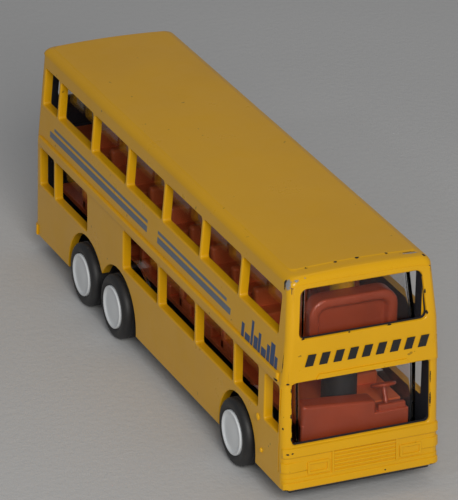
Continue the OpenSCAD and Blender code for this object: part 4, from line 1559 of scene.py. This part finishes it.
# ---------------------------------------------------------------- stage


def aim(obj, target):
    obj.rotation_euler = (Vector(target) - obj.location).to_track_quat("-Z", "Y").to_euler()


def area_light(context, name, location, target, size, power, tint):
    data = bpy.data.lights.new(name, "AREA")
    data.shape = "DISK"
    data.size = size
    data.energy = power
    data.color = tint
    lamp = bpy.data.objects.new(name, data)
    context.scene.collection.objects.link(lamp)
    lamp.location = location
    aim(lamp, target)
    return lamp


class TOYBUS_OT_stage(BusOperator, bpy.types.Operator):
    """Set up the pale floor, the soft studio light and the camera"""
    bl_idname = "toybus.stage"
    bl_label = "Stage"

    def build(self, context, shape, finish):
        scene = context.scene
        mesh = bmesh.new()
        bmesh.ops.create_grid(mesh, x_segments=40, y_segments=40, size=2.5)
        data = bpy.data.meshes.new("pale_floor")
        mesh.to_mesh(data)
        mesh.free()
        floor = bpy.data.objects.new("pale_floor", data)
        data.materials.append(floor_material(scene.toy_bus.colours))
        scene.collection.objects.link(floor)

        world = bpy.data.worlds.new("Soft studio")
        world.use_nodes = True
        back = world.node_tree.nodes["Background"]
        back.inputs["Color"].default_value = (0.88, 0.93, 1.0, 1.0)
        back.inputs["Strength"].default_value = 0.21
        scene.world = world
        area_light(context, "Front key", (-0.15, -0.62, 0.37), (0, -0.03, 0.02), 0.34, 2.7, (1.0, 0.98, 0.94))
        area_light(context, "Warm top", (0.10, 0.05, 0.75), (0, 0, 0.03), 0.50, 0.35, (1.0, 0.86, 0.68))
        area_light(context, "Glint", (-0.50, -0.30, 0.40), (0, -0.02, 0.02), 0.04, 0.16, (1.0, 0.98, 0.96))

        data = bpy.data.cameras.new("Camera")
        data.lens = 296.3
        data.sensor_width = 36.0
        data.shift_x = 0.00206
        data.shift_y = -0.0012
        data.clip_start = 0.01
        data.clip_end = 20.0
        camera = bpy.data.objects.new("Camera", data)
        right = Vector((0.91582, -0.40120, 0.01767))
        up = Vector((0.15112, 0.38504, 0.91044))
        forward = Vector((0.37207, 0.83113, -0.41326))
        turn = Matrix((right, up, -forward)).transposed().to_4x4()
        camera.matrix_world = Matrix.Translation((-0.28526, -0.637839, 0.339722)) @ turn
        scene.collection.objects.link(camera)
        scene.camera = camera
        scene.view_settings.view_transform = "Standard"
        scene.view_settings.look = "None"


class TOYBUS_PT_panel(bpy.types.Panel):
    """Lists the bus's builders"""
    bl_idname = "TOYBUS_PT_panel"
    bl_label = "Toy Bus"
    bl_space_type = "VIEW_3D"
    bl_region_type = "UI"
    bl_category = "Toy Bus"

    def draw(self, context):
        for operator in OPERATORS:
            self.layout.operator(operator.bl_idname)
        for group in ("casting", "windows", "wheels", "colours"):
            box = self.layout.box()
            box.label(text=group.title())
            settings = getattr(context.scene.toy_bus, group)
            for name in settings.__annotations__:
                box.prop(settings, name)


GROUPS = (CastingSizes, WindowSizes, WheelSizes, BusColours, ToyBusSettings)
OPERATORS = (TOYBUS_OT_stage, TOYBUS_OT_casting, TOYBUS_OT_prints, TOYBUS_OT_glazing, TOYBUS_OT_upper_deck,
             TOYBUS_OT_lower_deck, TOYBUS_OT_driver_place, TOYBUS_OT_base, TOYBUS_OT_screws, TOYBUS_OT_axles,
             TOYBUS_OT_wheels)


def register():
    for cls in (*GROUPS, *OPERATORS, TOYBUS_PT_panel):
        bpy.utils.register_class(cls)
    bpy.types.Scene.toy_bus = PointerProperty(type=ToyBusSettings)


def unregister():
    del bpy.types.Scene.toy_bus
    for cls in reversed((*GROUPS, *OPERATORS, TOYBUS_PT_panel)):
        bpy.utils.unregister_class(cls)


def main():
    register()
    bpy.ops.toybus.stage()
    bpy.ops.toybus.casting()
    bpy.ops.toybus.prints()
    bpy.ops.toybus.glazing()
    bpy.ops.toybus.upper_deck()
    bpy.ops.toybus.lower_deck()
    bpy.ops.toybus.driver_place()
    bpy.ops.toybus.base()
    bpy.ops.toybus.screws()
    bpy.ops.toybus.axles()
    bpy.ops.toybus.wheels()


if __name__ == "__main__":
    main()
